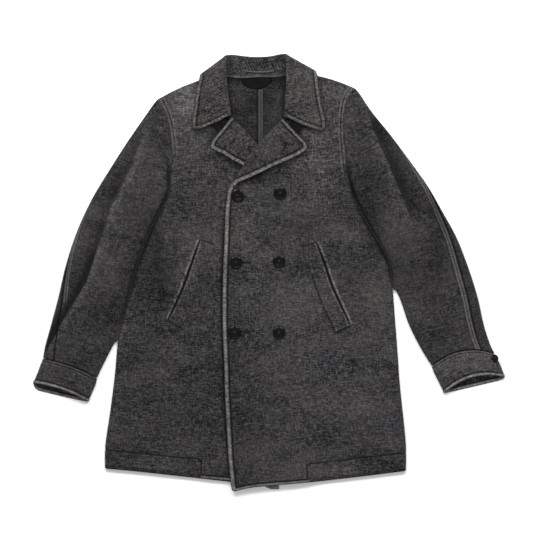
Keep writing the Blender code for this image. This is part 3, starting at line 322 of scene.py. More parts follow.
def left_front_top(x, y):
    """Top of the left front, which laps over the right front and its lapel."""
    lap = LAP_RISE * smooth((108 - x) / 58) * smooth((340 - y) / 100)
    lapel = LAPEL_RISE * hump(line_distance(x, y, -40, 245, 14, 186), 44)
    return body_top(x, y) + lap + lapel


def in_spots(x, y, spots):
    """Strength of the soft oval spots at a place, all added up."""
    total = 0.0
    for sx, sy, across, up, strength in spots:
        total = total + strength * np.exp(-(((x - sx) / across) ** 2 + ((y - sy) / up) ** 2))
    return total


def wear_and_shade(grid):
    """Painted light and shade and rubbed paleness over a grid, and how brown the dye has turned there."""
    x, y = grid[..., 0], grid[..., 1]
    shade = in_spots(x, y, SHADE_SPOTS)
    for points, left, right, strength in SHADE_LINES:
        shade = shade + strength * near_line(x, y, points, left, right)
    return shade + 0.07 * uneven(x, y, 55), 0.25 * uneven(x + 40, y, 70) + in_spots(x, y, WARM_SPOTS)


def neck_seam(side):
    """The collar's seam: along the back neck (0), or down the right (-1) or left (1) front."""
    part = {0: slice(RIGHT_NECK_ROW, LEFT_NECK_ROW + 1), 1: slice(LEFT_NECK_ROW, None)}
    rows = COLLAR_ROWS[part.get(side, slice(0, RIGHT_NECK_ROW + 1))]
    points = spline(rows, np.linspace(0, 1, 41))[:, :2]
    key = 0 if side == 0 else 1
    points = points[np.argsort(points[:, key])]
    return points[:, key], points[:, 1 - key]


def side_wrap(rows, shares):
    """1 where the front runs round to the side seam, falling to 0 at the armhole seam."""
    step = 1.0 / (len(rows) - 1)
    underarm = (len(rows) - ARMHOLE_ROWS) * step
    return 1 - smooth((shares - underarm + UNDERARM_ROWS * step) / (UNDERARM_ROWS * step))


def even_shares(rows, fine, step, stop):
    """Shares of a panel's height, close together for the first millimetres above the hem."""
    dense = np.linspace(0, 1, 900)
    table_rows = spline(rows, dense)
    run = walked_along((table_rows[:, :2] + table_rows[:, 2:4]) / 2)
    wanted = np.concatenate([np.arange(0, fine, 1.3), np.arange(fine, run[-1] - stop, step)])
    return np.interp(wanted, run, dense)


def shoulder_fold(side, x, turn):
    """How far in and how far round in height a row of the shoulder fold lies."""
    neck_x = LEFT_NECK_POINT[0] if side > 0 else RIGHT_NECK_POINT[0]
    curl = np.maximum(0.02, smooth(((x - neck_x) * side - 5.0) / 34.0))
    radius = SHOULDER_RADIUS * (0.7 + 0.3 / curl)
    angle, whole = math.radians(turn) * curl, math.pi / 2 * curl
    return radius * (np.sin(whole) - np.sin(angle)), radius * (1 - np.cos(angle))


def fold_shoulder(grid, side, near, lift):
    """A grid with its last row folded over at the shoulder, square to the line from the row near."""
    line, lean = grid[-1], grid[-1] - grid[near]
    lean = lean[:, 0] / lean[:, 1]
    turned = []
    for turn in SHOULDER_TURNS:
        inward, rise = shoulder_fold(side, line[:, 0], turn)
        turned.append(line + np.stack([-lean * inward, -inward, rise * lift], axis=1))
    return np.concatenate([grid[:-1], turned])


def back_surface(side, rows, neck):
    """Lower face of one half of the back, side seam to centre seam."""
    shares = np.append(even_shares(rows, 14, 4.5, 11), 1.0)
    top_start = np.array(rows[-1][:2], float)
    neck_share = (neck[0] - top_start[0]) / (CENTRE_X - top_start[0])
    columns = np.concatenate([np.linspace(0, neck_share, 30), np.linspace(neck_share, 1, 26)[1:]])
    centre_x = CENTRE_X + side * SEAM_GAP / 2
    seam = neck_seam(0)
    neck_y = np.interp(centre_x, *seam) - NECK_CLEARANCE
    sx, sy, ex, ey, _ = spline(rows, shares).T[:, :, None]
    share, wrap = shares[:, None], np.sqrt(side_wrap(rows, shares))[:, None]
    run = np.hypot(ex - sx, ey - sy)
    start_x = sx + (ex - sx) / run * wrap * (TUCK + SEAM_GAP)
    start_y = sy + (ey - sy) / run * wrap * (TUCK + SEAM_GAP)
    centre_y = BACK_HEM_Y + (neck_y - BACK_HEM_Y) * share
    x = start_x + (centre_x - start_x) * columns
    y = start_y + (centre_y - start_y) * columns
    span = columns / neck_share
    along = top_start[1] + (neck[1] - top_start[1]) * span + SHOULDER_BOW * bulge(span)
    line_y = np.where(span < 1, along, np.interp(x, *seam) - NECK_CLEARANCE)
    peak = smooth((share - 1 + 0.22) / 0.22)
    y = y + peak * (line_y - top_start[1] - (neck_y - top_start[1]) * columns)
    return fold_shoulder(np.stack([x, y, neck_lift(x, y)], axis=2), side, -6, 1.0)


def outward_normals(grid, turn):
    """Directions square to a surface's rows and columns, on the side that turn (1 or -1) names."""
    normal = np.cross(np.gradient(grid, axis=1), np.gradient(grid, axis=0)) * turn
    return normal / np.maximum(np.linalg.norm(normal, axis=2), 1e-9)[..., None]


def spans(grid):
    """Distances over the cloth from the first column, the first row, the last column and row."""
    across = np.linalg.norm(np.diff(grid, axis=1), axis=2)
    along = np.linalg.norm(np.diff(grid, axis=0), axis=2)
    across = np.concatenate([np.zeros((len(grid), 1)), np.cumsum(across, axis=1)], axis=1)
    along = np.concatenate([np.zeros((1, grid.shape[1])), np.cumsum(along, axis=0)])
    return across, along, across[:, -1:] - across, along[-1:] - along


def edge_drop(distance, radius):
    """How far a cut and felted edge has rounded over at a distance in from it."""
    inside = np.clip(1 - distance / radius, 0, 1)
    return radius * (1 - np.sqrt(1 - inside**2))


def bead(edge):
    """Rise of a swelled edge: a soft roll with a stitched groove inside it."""
    roll = np.sin(np.pi * np.clip(edge / ROLL_WIDTH, 0, 1)) ** 0.8 * ROLL_RISE
    return roll - GROOVE_DEPTH * hump(edge - GROOVE_PLACE, 1.6)


def round_corner(grid, first_row, radius):
    """Pulls a corner at a grid's last column in, to a curve of about that radius."""
    part = grid[:: 1 if first_row else -1, ::-1]
    corner = part[0, 0].copy()
    along_row = part[0, min(6, part.shape[1] - 1)] - corner
    along_column = part[min(6, part.shape[0] - 1), 0] - corner
    along_row, along_column = (way / np.linalg.norm(way) for way in (along_row, along_column))
    u0, v0, _, _ = spans(part)
    a = np.clip(1 - u0 / radius, 0, 1)
    b = np.clip(1 - v0 / radius, 0, 1)
    pull_a = radius * a * (1 - np.sqrt(1 - b**2 / 2))
    pull_b = radius * b * (1 - np.sqrt(1 - a**2 / 2))
    part += pull_a[..., None] * along_row + pull_b[..., None] * along_column


def face_outwards(mesh):
    """Turns a closed mesh's faces outwards and shades them smooth."""
    shape = bmesh.new()
    shape.from_mesh(mesh)
    bmesh.ops.recalc_face_normals(shape, faces=shape.faces)
    shape.to_mesh(mesh)
    shape.free()
    mesh.shade_smooth()


def cloth_mesh(name, outer, inner, edge, shade, closed=False, warm=0.3):
    """A wall of cloth between two skins, with the distances that its finish is drawn from.

    The maps cloth and far hold distances in metres from the first and the last row and column.
    """
    rows, columns = outer.shape[:2]
    number = np.arange(rows * columns).reshape(rows, columns)
    if closed:
        number = np.concatenate([number, number[:, :1]], axis=1)
    a, b, c, d = number[:-1, :-1], number[:-1, 1:], number[1:, 1:], number[1:, :-1]
    skin = np.stack([a, b, c, d], axis=-1).reshape(-1, 4)
    under = skin[:, ::-1] + rows * columns
    rims = [number[0], number[-1][::-1]]
    if not closed:
        rims = [np.concatenate([number[0], number[1:, -1], number[-1, -2::-1], number[-2::-1, 0]])]
    walls = [np.stack([r[1:], r[:-1], r[:-1] + rows * columns, r[1:] + rows * columns], 1) for r in rims]
    mesh = bpy.data.meshes.new(name)
    points = np.concatenate([outer.reshape(-1, 3), inner.reshape(-1, 3)]) * MM
    mesh.from_pydata(points.tolist(), [], np.concatenate([skin, under, *walls]).tolist())
    face_outwards(mesh)
    whole = np.concatenate([outer, outer[:, :1]], axis=1) if closed else outer
    u0, v0, u1, v1 = spans(whole)
    corner = np.empty(len(mesh.loops), int)
    mesh.loops.foreach_get("vertex_index", corner)
    corner = corner % (rows * columns)
    for map_name, across, along in (("cloth", u0, v0), ("far", u1, v1)):
        flat = np.stack([across[:, :columns].ravel(), along[:, :columns].ravel()], axis=1)[corner]
        if closed:
            quads = flat.reshape(-1, 4, 2)
            wide = np.ptp(quads[:, :, 0], axis=1) > across.max() / 2
            low = quads[:, :, 0] < across.max() / 2
            if map_name == "cloth":
                quads[:, :, 0] += np.where(wide[:, None] & low, across.max(), 0)
            else:
                quads[:, :, 0] -= np.where(wide[:, None] & ~low, across.max(), 0)
        layer = mesh.uv_layers.new(name=map_name)
        layer.data.foreach_set("uv", (flat * MM).astype(np.float32).ravel())
    for mark, values in (("edge", edge), ("shade", shade), ("warm", warm)):
        values = np.broadcast_to(values, (rows, columns)).ravel()
        attribute = mesh.attributes.new(mark, "FLOAT", "POINT")
        attribute.data.foreach_set("value", np.tile(values, 2).astype(np.float32))
    return mesh


def add_piece(mesh, material):
    """A piece of the coat from its finished mesh."""
    piece = bpy.data.objects.new(mesh.name, mesh)
    mesh.materials.append(material)
    link(piece)
    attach(piece, "root")
    return piece


def lay_cloth(mesh, material):
    """Puts a piece of cloth in the place of its plain solid."""
    piece = add_piece(mesh, material)
    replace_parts(piece, mesh.name.replace("_cloth", ""))


def operators(operation):
    """An operator between a strand and something else, either way round."""
    return (
        lambda strand, other: strand.maths(operation, strand, other),
        lambda strand, other: strand.maths(operation, other, strand),
    )


class Strand:
    """One value on its way through a material; arithmetic on it adds the nodes that work it out."""

    def __init__(self, tree, socket=None):
        self.tree, self.socket = tree, socket

    def node(self, kind, settings=(), sockets=(), output=0):
        """A node of a type, with its settings made first and then its sockets filled."""
        made = self.tree.nodes.new("ShaderNode" + kind)
        for name, value in dict(settings).items():
            setattr(made, name, value)
        for name, value in dict(sockets).items():
            if isinstance(value, Strand):
                self.tree.links.new(value.socket, made.inputs[name])
            else:
                made.inputs[name].default_value = value
        return Strand(self.tree, made.outputs[output])

    def maths(self, operation, first, second=0.0):
        return self.node("Math", {"operation": operation}, {0: first, 1: second})

    __add__, __radd__ = operators("ADD")
    __sub__, __rsub__ = operators("SUBTRACT")
    __mul__, __rmul__ = operators("MULTIPLY")
    __truediv__, __rtruediv__ = operators("DIVIDE")

    def between(self, low, high):
        """0 below low and 1 above high, with a soft step between them."""
        sockets = {"Value": self, "From Min": low, "From Max": high}
        return self.node("MapRange", {"interpolation_type": "SMOOTHSTEP"}, sockets)

    def line(self, place, width):
        """1 on a line at a place, fading away on both sides of it."""
        off = (self - place) / width
        return 1.0 / (1.0 + off * off * off * off)

    def at_least(self, floor):
        return self.maths("MAXIMUM", self, floor)

    def tints(self, colour):
        """A colour made lighter or darker by this value."""
        return self.node("VectorMath", {"operation": "SCALE"}, {0: colour, "Scale": self})

    def parts(self):
        """The three components of this vector."""
        split = self.node("SeparateXYZ", (), {0: self}).socket.node
        return [Strand(self.tree, socket) for socket in split.outputs]

    def speckle(self, scale, detail, warp=0.0):
        """Soft noise at this place."""
        sockets = {"Vector": self, "Scale": scale, "Detail": detail, "Distortion": warp}
        return self.node("TexNoise", (), sockets)

    def stripes(self, scale, way="X", warp=0.0):
        """Soft parallel stripes at this place."""
        sockets = {"Vector": self, "Scale": scale, "Distortion": warp}
        return self.node("TexWave", {"bands_direction": way}, sockets, 1)


def new_material(name):
    """A material with its shader, and a strand to start its pattern from."""
    material = bpy.data.materials.new(name)
    material.use_nodes = True
    return material, material.node_tree.nodes["Principled BSDF"], Strand(material.node_tree)


def give_finish(shader, colour, height, depth, strength, rough, **fixed):
    """Gives a shader its colour, its roughness, a relief depth mm deep and its fixed values."""
    bump = height.node("Bump", (), {"Height": height, "Distance": depth * MM, "Strength": strength})
    for name, strand in (("Base Color", colour), ("Normal", bump), ("Roughness", rough)):
        strand.tree.links.new(strand.socket, shader.inputs[name])
    for name, value in fixed.items():
        shader.inputs[name.replace("_", " ")].default_value = value


WOOL_GREY, WORN_GREY = (0.0250, 0.0237, 0.0247, 1), (0.126, 0.1215, 0.1200, 1)
COOL, WARM = (0.955, 0.985, 1.05, 1), (1.085, 0.985, 0.93, 1)  # the casts that the dye drifts between
SEWN = (1.2, 1.0)  # a stitched row's half width, and how far it is sunk and darkened with painted shade
END = 900  # beyond the end of any row of stitches


def boiled_wool(name, rows=(), holes=(), turn=0, nap=1.0, weave=1.0, rub=0.92, ribs=None, slit_depth=1.25):
    """Felted wool: light fibres along the weft and the warp, cloudy dye, rubbed edges, stitched rows.

    Each of the rows is (distance it keeps, its place, distance that bounds it, from, to, half width,
    strength): sunk and darkened with painted shade where its strength is above zero, rubbed pale
    where it is below zero. Each of the holes is a buttonhole's slit (x1, y1, x2, y2), painted dark
    with shade. Ribs are (pitch, from u0, to u0). All are in mm. The weft runs at the angle turn, in
    degrees. Nap and weave are how strongly the flecks and the fibres show, rub is how pale the edges
    are, and slit_depth how much shade is painted in the slits.
    """
    material, shader, start = new_material(name)
    places = {}
    for map_name, keys in (("cloth", "u0 v0"), ("far", "u1 v1")):
        for key, part in zip(keys.split(), start.node("UVMap", {"uv_map": map_name}).parts()):
            places[key] = part * 1000.0
    spot = start.node("TexCoord", output=3)
    on_table = {"rotation_type": "Z_AXIS"}
    grain = start.node("VectorRotate", on_table, {0: spot, "Angle": -math.radians(turn)})

    def noise(across, along, detail=1.0, warp=0.0):
        sizes = (1000 / across, 1000 / along, 1000 / along)
        scaled = start.node("VectorMath", {"operation": "MULTIPLY"}, {0: grain, 1: sizes})
        return scaled.speckle(1.0, detail, warp)

    edge, shade, warmth = (
        start.node("Attribute", {"attribute_name": mark}, output=2) for mark in ("edge", "shade", "warm")
    )
    fibre = noise(1.6, 0.9)
    fleck = noise(3.6, 2.9)
    weft = noise(11.0, 2.6, 1.0, 0.25)
    warp = noise(2.6, 10.0, 1.0, 0.25)
    lump = noise(19.0, 7.5, 3.0, 0.5)
    cloud = noise(80.0, 27.0, 3.0)
    drift = noise(170.0, 110.0, 2.0)
    nep = fleck.between(0.60, 0.80)
    value = 0.56 + weft.between(0.40, 0.80) * (1.25 * weave) + warp.between(0.42, 0.84) * (1.15 * weave)
    value = value + (fleck - 0.5) * (1.8 * nap) + (lump - 0.5) * 0.95 + (cloud - 0.5) * 1.15
    value = value + (drift - 0.5) * 1.6 + nep * (0.8 * nap) + (fibre - 0.5) * 0.9
    if ribs:
        pitch, low, high = ribs
        reach = places["u0"].between(low - 3, low + 3) * (1.0 - places["u0"].between(high - 3, high + 3))
        value = value + start.maths("SINE", places["v0"] * (2 * math.pi / pitch)) * reach * 0.34
    # painted shade in the stitched groove inside a swelled edge; stitched rows and slits add theirs
    sunk = edge.line(10.9, 1.8)
    for key, place, bound, low, high, width, strength in rows:
        reach = places[bound].between(low - 1, low) * (1.0 - places[bound].between(high, high + 1))
        seam = places[key].line(place, width) * reach * abs(strength)
        if strength > 0:
            sunk = sunk.at_least(seam)
        else:
            value = value + seam * (1.15 + (fleck - 0.5) * 2.0)
    for x1, y1, x2, y2 in holes:
        length, slant = math.hypot(x2 - x1, y2 - y1), math.atan2(y2 - y1, x2 - x1)
        middle = ((x1 + x2) / 2 * MM, (y1 + y2) / 2 * MM, 0)
        level = start.node("VectorRotate", on_table, {0: spot, 1: middle, "Angle": -slant})
        level = start.node("VectorMath", {"operation": "SUBTRACT"}, {0: level, 1: middle})
        along, across, _ = (part * 1000.0 for part in level.parts())
        along = start.maths("ABSOLUTE", along)
        slit = across.line(0.0, 2.3) * (1.0 - along.between(length / 2 - 1, length / 2 + 1))
        sunk = sunk.at_least(slit * slit_depth)
    # the shade attribute brings in each place's painted light and shade and its rubbed paleness
    value = value.at_least(0.12) * (1.0 + shade).at_least(0.10)
    rubbed = edge.between(0.3, 3.0) * (1.0 - edge.between(6.4, 9.8))
    rubbed = rubbed * (0.80 + (lump - 0.5) * 1.1 + (fleck - 0.5) * 1.3).between(0.0, 1.0)
    mix = {"data_type": "RGBA", "clamp_result": True}
    multiply = {"data_type": "RGBA", "blend_type": "MULTIPLY"}
    cast = 0.5 + (cloud - 0.5) * 1.4 + (drift - 0.5) * 1.2 + (lump - 0.5) * 0.8 + warmth * 0.5
    cast = start.node("Mix", mix, {0: cast.between(0.1, 0.9), 6: COOL, 7: WARM}, 2)
    dyed = value.tints(start.node("Mix", multiply, {0: 1.0, 6: cast, 7: WOOL_GREY}, 2))
    worn = (0.45 + value * 0.5).tints(start.node("Mix", multiply, {0: 1.0, 6: cast, 7: WORN_GREY}, 2))
    mixed = start.node("Mix", mix, {0: rubbed * rub, 6: dyed, 7: worn}, 2)
    # painted shade where an edge rounds over: its outer 1.2 mm is darker
    rim = 0.55 + edge.between(0.0, 1.2) * 0.45
    colour = ((1.0 - sunk * 0.80).at_least(0.05) * rim).tints(mixed)
    height = (fleck - 0.5) * 0.5 + (weft - 0.5) * 0.5 + (warp - 0.5) * 0.35 + (lump - 0.5) * 0.8
    height = height + (fibre - 0.5) * 0.2 - sunk * 0.7
    give_finish(
        shader, colour, height, 1.2, 0.9, 1.0 - nep * 0.12, Specular_IOR_Level=0.08,
        Sheen_Weight=0.12, Sheen_Roughness=0.55, Sheen_Tint=(0.60, 0.58, 0.60, 1),
    )
    return material


armholes = {}  # the borders that each sleeve is sewn to: the back's and then the front's
for side_name, side, rows, neck in (
    ("left", 1, LEFT_FRONT_ROWS, LEFT_NECK_POINT),
    ("right", -1, RIGHT_FRONT_ROWS, RIGHT_NECK_POINT),
):
    grid = back_surface(side, rows, neck)
    out = outward_normals(grid, side)
    border = np.minimum.reduce(spans(grid))
    round_off = edge_drop(border, 1.7)[..., None]
    hollow = 0.5 * (1 + uneven(grid[..., 0], grid[..., 1], 40)) * smooth(border / 40)
    outer = grid - out * (round_off + 0.5 * hollow[..., None])
    inner = grid - out * (CLOTH - round_off)
    sewn = [("v0", 40, "u0", 0, END, *SEWN), ("u1", 3, "v0", 225, END, *SEWN)]
    wool = boiled_wool(f"back_{side_name}_wool", sewn, nap=0.75, weave=0.8)
    shade, warm = wear_and_shade(grid)
    mesh = cloth_mesh(f"back_{side_name}_cloth", outer, inner, NO_BEAD, shade, warm=warm)
    lay_cloth(mesh, wool)
    armholes[side_name] = [outer[:, 0]]

# --- Vent -------------------------------------------------------------------------------------
# A strip of the same wool behind the back's open lower seam, so that the coat can spread when its
# wearer sits. It is hemmed with the back, and one corner has slipped out below the hem.

VENT_CLOTH, VENT_LEFT, VENT_WIDTH, VENT_TOP = 3.0, -36.0, 55.0, -225.0
VENT_SLIP = 8.0  # how far its corner has come out below the hem
share, column = np.meshgrid(np.linspace(0, 1, 60), np.linspace(0, 1, 24), indexing="ij")
x = VENT_LEFT + VENT_WIDTH * column
hem = BACK_HEM_Y - VENT_SLIP * smooth((x + 20) / 24)
grid = np.stack([x, hem + (VENT_TOP - hem) * share, np.full_like(x, CLOTH + 0.5)], axis=2)
round_off = edge_drop(np.minimum.reduce(spans(grid)), 1.4)[..., None] * (0, 0, 1)
outer, inner = grid + round_off, grid + (0, 0, VENT_CLOTH) - round_off
mesh = cloth_mesh("vent_underlap_cloth", outer, inner, spans(grid)[1], 0.5)
lay_cloth(mesh, boiled_wool("vent_wool"))

# --- Fronts -----------------------------------------------------------------------------------
# Left and right front, each cut in one piece from hem to shoulder and folded under at the side to
# meet the back. Their front edges are felted, swelled and stitched 11 mm in; the hem is turned up
# 40 mm and stitched as far as the facing. The left front laps over the right one.

HEM_DEPTH, HEM_CORNER = 40.0, 9.0
BREAK_Y = 172  # where the lapel begins to turn back
ARMHOLE_ANGLE = math.radians(14)  # how far the bare armhole edge is turned down
BUTTONHOLES = [(-68, 163, -48.5, 161), (-72, 24.5, -40, 24), (-74, -121.5, -40, -121)]


def front_surface(rows, hem_bow, top):
    """Outer face of a front, side seam or armhole to front edge, hem to shoulder seam."""
    side = 1 if rows[0][0] > 0 else -1
    shares = np.append(even_shares(rows, 16, 3.5, 9), 1.0)
    sx, sy, ex, ey, inset = spline(rows, shares).T
    way = heading(rows, shares, 0.01)[:, 2:4]
    run = np.hypot(*way.T)
    ax, ay = way[:, 1] / run, -way[:, 0] / run
    sign = np.where(ax * (sx - ex) + ay * (sy - ey) > 0, 1, -1) * np.maximum(inset, 0)
    gorge_y = COLLAR_ROWS[0][1] if side < 0 else COLLAR_ROWS[-1][1]
    on_neck = ey > gorge_y + 3.0
    end_x = np.where(on_neck, np.interp(ey, *neck_seam(side)) + side * NECK_CLEARANCE, ex + sign * ax)
    end_y = np.where(on_neck, ey, ey + sign * ay)
    sx, sy, end_x, end_y, shares = (v[:, None] for v in (sx, sy, end_x, end_y, shares))
    run = np.hypot(end_x - sx, end_y - sy)
    flat, arc = TUCK - SIDE_RADIUS, math.pi * SIDE_RADIUS
    bare = flat + (math.pi / 2 + ARMHOLE_ANGLE) * SIDE_RADIUS
    begins = bare * (1 - side_wrap(rows, shares))
    total = run - SIDE_RADIUS + flat + arc
    # columns close together round the fold and at the front edge, as shares of 400
    nominal = [np.arange(0, 46, 1.8), np.linspace(46, 384, 88), np.linspace(384, 400, 13)[1:]]
    place = begins + (total - begins) * np.concatenate(nominal) / 400
    angle = np.clip((place - flat) / SIDE_RADIUS, 0, math.pi) - math.pi / 2
    inward = np.where(place < flat, TUCK - place, SIDE_RADIUS * (1 - np.cos(angle)))
    inward = np.where(place > flat + arc, SIDE_RADIUS + place - flat - arc, inward)
    height = (1 + np.sin(angle)) / 2
    ease = smooth((shares - 1 + 0.16) / 0.16)
    part = inward / run
    step = 1.0 / (len(rows) - 1)
    x = sx + (end_x - sx) * part
    y = sy + (end_y - sy) * part
    low = np.maximum(inward, SIDE_RADIUS) / run
    z = top(sx + (end_x - sx) * low, sy + (end_y - sy) * low) * (height + (1 - height) * ease)
    bow_height, bow_power = hem_bow
    y = y + bow_height * np.maximum(0, 1 - shares / step) * part**bow_power * (1 - part)
    y = y + SHOULDER_BOW * ease * bulge(part)
    seam_z = neck_lift(x[-1], y[-1]) + BODY_TOP - SHOULDER_RADIUS
    return fold_shoulder(np.stack([x, y, z], axis=2), side, -7, (seam_z - z[-1]) / SHOULDER_RADIUS)


for side_name, side, rows, bow, top, facing, holes in (
    ("right", -1, RIGHT_FRONT_ROWS, (-27.0, 2), body_top, 184, []),
    ("left", 1, LEFT_FRONT_ROWS, (95.0, 6), left_front_top, 165, BUTTONHOLES),
):
    grid = front_surface(rows, bow, top)
    round_corner(grid, True, HEM_CORNER)
    out = outward_normals(grid, -side)
    u0, v0, u1, v1 = spans(grid)
    x, y = grid[..., 0], grid[..., 1]
    # only the left front's edge shows: it is swelled up to where the lapel turns back
    edge = u1 + NO_BEAD * (smooth((y - BREAK_Y) / 16) if side > 0 else 1)
    hem_edge = v0 + 40 * smooth((u1 - facing) / 6)
    edge = np.minimum(edge, hem_edge * 1.5)  # the hem's roll is narrower
    border = np.minimum.reduce([u0, v0, u1, v1])
    round_off = np.maximum(edge_drop(border, 1.8) * smooth(u0 / 3.0), edge_drop(u0, 0.7))
    hem = (u1 > facing) * -0.8 * hump(v0 - HEM_DEPTH, 2.4)
    outer = grid + out * (bead(edge) + hem - round_off)[..., None]
    inner = grid - out * (CLOTH - round_off)[..., None]
    underarm = 690 if side < 0 else 660  # where the armhole's stitching starts, up from the hem
    rows_sewn = [
        ("v0", HEM_DEPTH, "u1", facing, END, *SEWN),
        ("u1", facing, "v0", 12, HEM_DEPTH, *SEWN),
        ("u0", 7.0, "v0", underarm + 10, END, 1.4, -0.9),
        ("u0", 10.2, "v0", underarm, END, 1.2, 0.6),
        ("u0", 13.6, "v0", underarm, END, 1.4, -0.9),
    ]
    shade, warm = wear_and_shade(grid)
    shade = shade - 0.35 * (v0 < 8) * (u1 > 14)
    if side < 0:
        # painted shade beside the left front's edge, which lies on this one
        lap = [tuple(row[2:4]) for row in LEFT_FRONT_ROWS[:12]]
        shade = shade - 0.50 * near_line(x, y, lap, 4, 17) - 0.6 * near_line(x, y, lap, 4, 5)
    wool = boiled_wool(f"front_{side_name}_wool", rows_sewn, holes)
    mesh = cloth_mesh(f"front_{side_name}_cloth", outer, inner, edge, shade, warm=warm)
    lay_cloth(mesh, wool)
    armholes[side_name].append(outer[:, 0])

# --- Sleeves ----------------------------------------------------------------------------------
# Each sleeve is an upper and an under piece, sewn in a back seam that is stitched twice and an
# inner seam on the underside. They lie flattened, rolled over at both sides.

SLEEVE_CLOTH = 3.5
SLEEVE_GRAIN = 16  # how far the weft of the sleeves slants, degrees
SEAT_GAP, SEAT_REACH = 0.08, 7.0  # what is left between a sleeve and the body, and how far it is drawn
JOIN_GAP = 0.35  # half of what is left in the seams along the sleeve
INNER_SEAM = 25.0  # how far beneath the inner fold that seam runs
RING_POINTS = 192
RIGHT_SLEEVE_ROWS = [
    # outer_x, outer_y, inner_x, inner_y, bow_top, bow_under, height, seam
    (-239.3, 365.2, -225.7, 147.2, 0, 0, 11, -26), (-263, 331, -238.5, 126, 0, 0, 15, -22),
    (-299, 279, -253.6, 92, 0, 0, 20, -18), (-338, 218, -268.2, 55, 0, 0, 23, -14),
    (-373, 160, -283.6, 10, 0, 0, 25, -8), (-404, 94, -295.5, -38, 0, 0, 26, 0),
    (-428, 22, -309, -92, 0, 0, 26, 8), (-445, -50, -319.5, -129, 0, 0, 25, 17),
    (-461, -110, -340, -170, 3, 0, 23, 24), (-472, -150, -355, -200, 5, 0, 21, 28),
    (-477, -177, -363, -218, 6, 2, 19, 30),
]
LEFT_SLEEVE_ROWS = [
    (183, 387.5, 178.7, 160.2, 0, 0, 11, -20), (214, 341, 190.5, 136, 0, 0, 15, -16),
    (252, 294, 206.5, 107, 0, 0, 20, -10), (294, 238, 223.4, 79, 0, 0, 23, -2),
    (332, 184, 239, 54, 0, 0, 25, 6), (363, 130, 252.6, 21, 0, 0, 26, 13),
    (392, 77, 257.5, -17, 0, 0, 26, 20), (416, 16, 275, -57, 0, 0, 25, 25),
    (436, -47, 289, -99, 4, 0, 24, 27), (449, -105, 305, -134, 10, 0, 22, 28),
    (462, -146, 325, -170, 17, 0, 20, 31), (472, -167, 340, -193, 20, 0, 19, 33),
]


def ring_outline(outer, inner, bow_top, bow_under, height, arm_bow, slants=(1.0, 1.0)):
    """Points once round a flattened sleeve, from its outer fold over the top and back beneath."""
    across = np.subtract(inner, outer)
    width = math.hypot(*across)
    side = 1 if outer[0] > inner[0] else -1
    up = (across[1] / width * side, -across[0] / width * side)
    full = float(smooth((height - 9.0) / 15.0))
    side_z = min(6.0, height / 2)
    shoulder = max(1.3 * (height - side_z), width / 2 * full)
    power = 2.0 + 0.4 * full
    turn = 2 * math.pi * np.arange(RING_POINTS) / RING_POINTS
    on_top = turn <= math.pi
    share = (1 - np.cos(turn)) / 2
    beneath = np.sqrt(np.minimum(1, share / 0.12)) * (1 - share) ** 0.8
    bow = np.where(on_top, bow_top * bulge(share), bow_under * beneath)
    lean_x, lean_y = arm_bow(share)
    x = outer[0] + across[0] * share + up[0] * bow + lean_x
    y = outer[1] + across[1] * share + up[1] * bow + lean_y
    inward = width * np.minimum(share * slants[0], (1 - share) * slants[1])
    swell = (1 - np.maximum(0, 1 - inward / shoulder) ** power) ** (1 / power)
    over = side_z + (height - side_z + fold_height(x, y)) * swell
    under = side_z * (1 - np.sqrt(1 - np.maximum(0, 1 - inward / (1.1 * side_z)) ** 2))
    return np.stack([x, y, np.where(on_top, over, under)], axis=1)


def along_ring(ring, start, end, count):
    """Count + 1 points of a closed ring between two distances round it, closer at the bends."""
    ring = np.concatenate([ring, ring[:1]])
    steps = np.diff(ring[:, :3], axis=0)
    lengths = np.linalg.norm(steps, axis=1)
    total = lengths.sum()
    units = steps / np.maximum(lengths, 1e-6)[:, None]
    bends = np.arccos(np.clip((units * np.roll(units, 1, axis=0)).sum(axis=1), -1, 1))
    place = np.concatenate([[0], np.cumsum(lengths)])
    weight = np.concatenate([[0], np.cumsum(lengths + 14.0 * np.minimum(bends, 0.6))])
    places = np.concatenate([place - total, place[1:], place[1:] + total])
    weights = np.concatenate([weight - weight[-1], weight[1:], weight[1:] + weight[-1]])
    rings = np.concatenate([ring, ring[1:], ring[1:]])
    ends = np.interp([start, end], places, weights)
    wanted = np.interp(np.linspace(ends[0], ends[1], count + 1), weights, places)
    return np.stack([np.interp(wanted, places, rings[:, k]) for k in range(rings.shape[1])], axis=1)


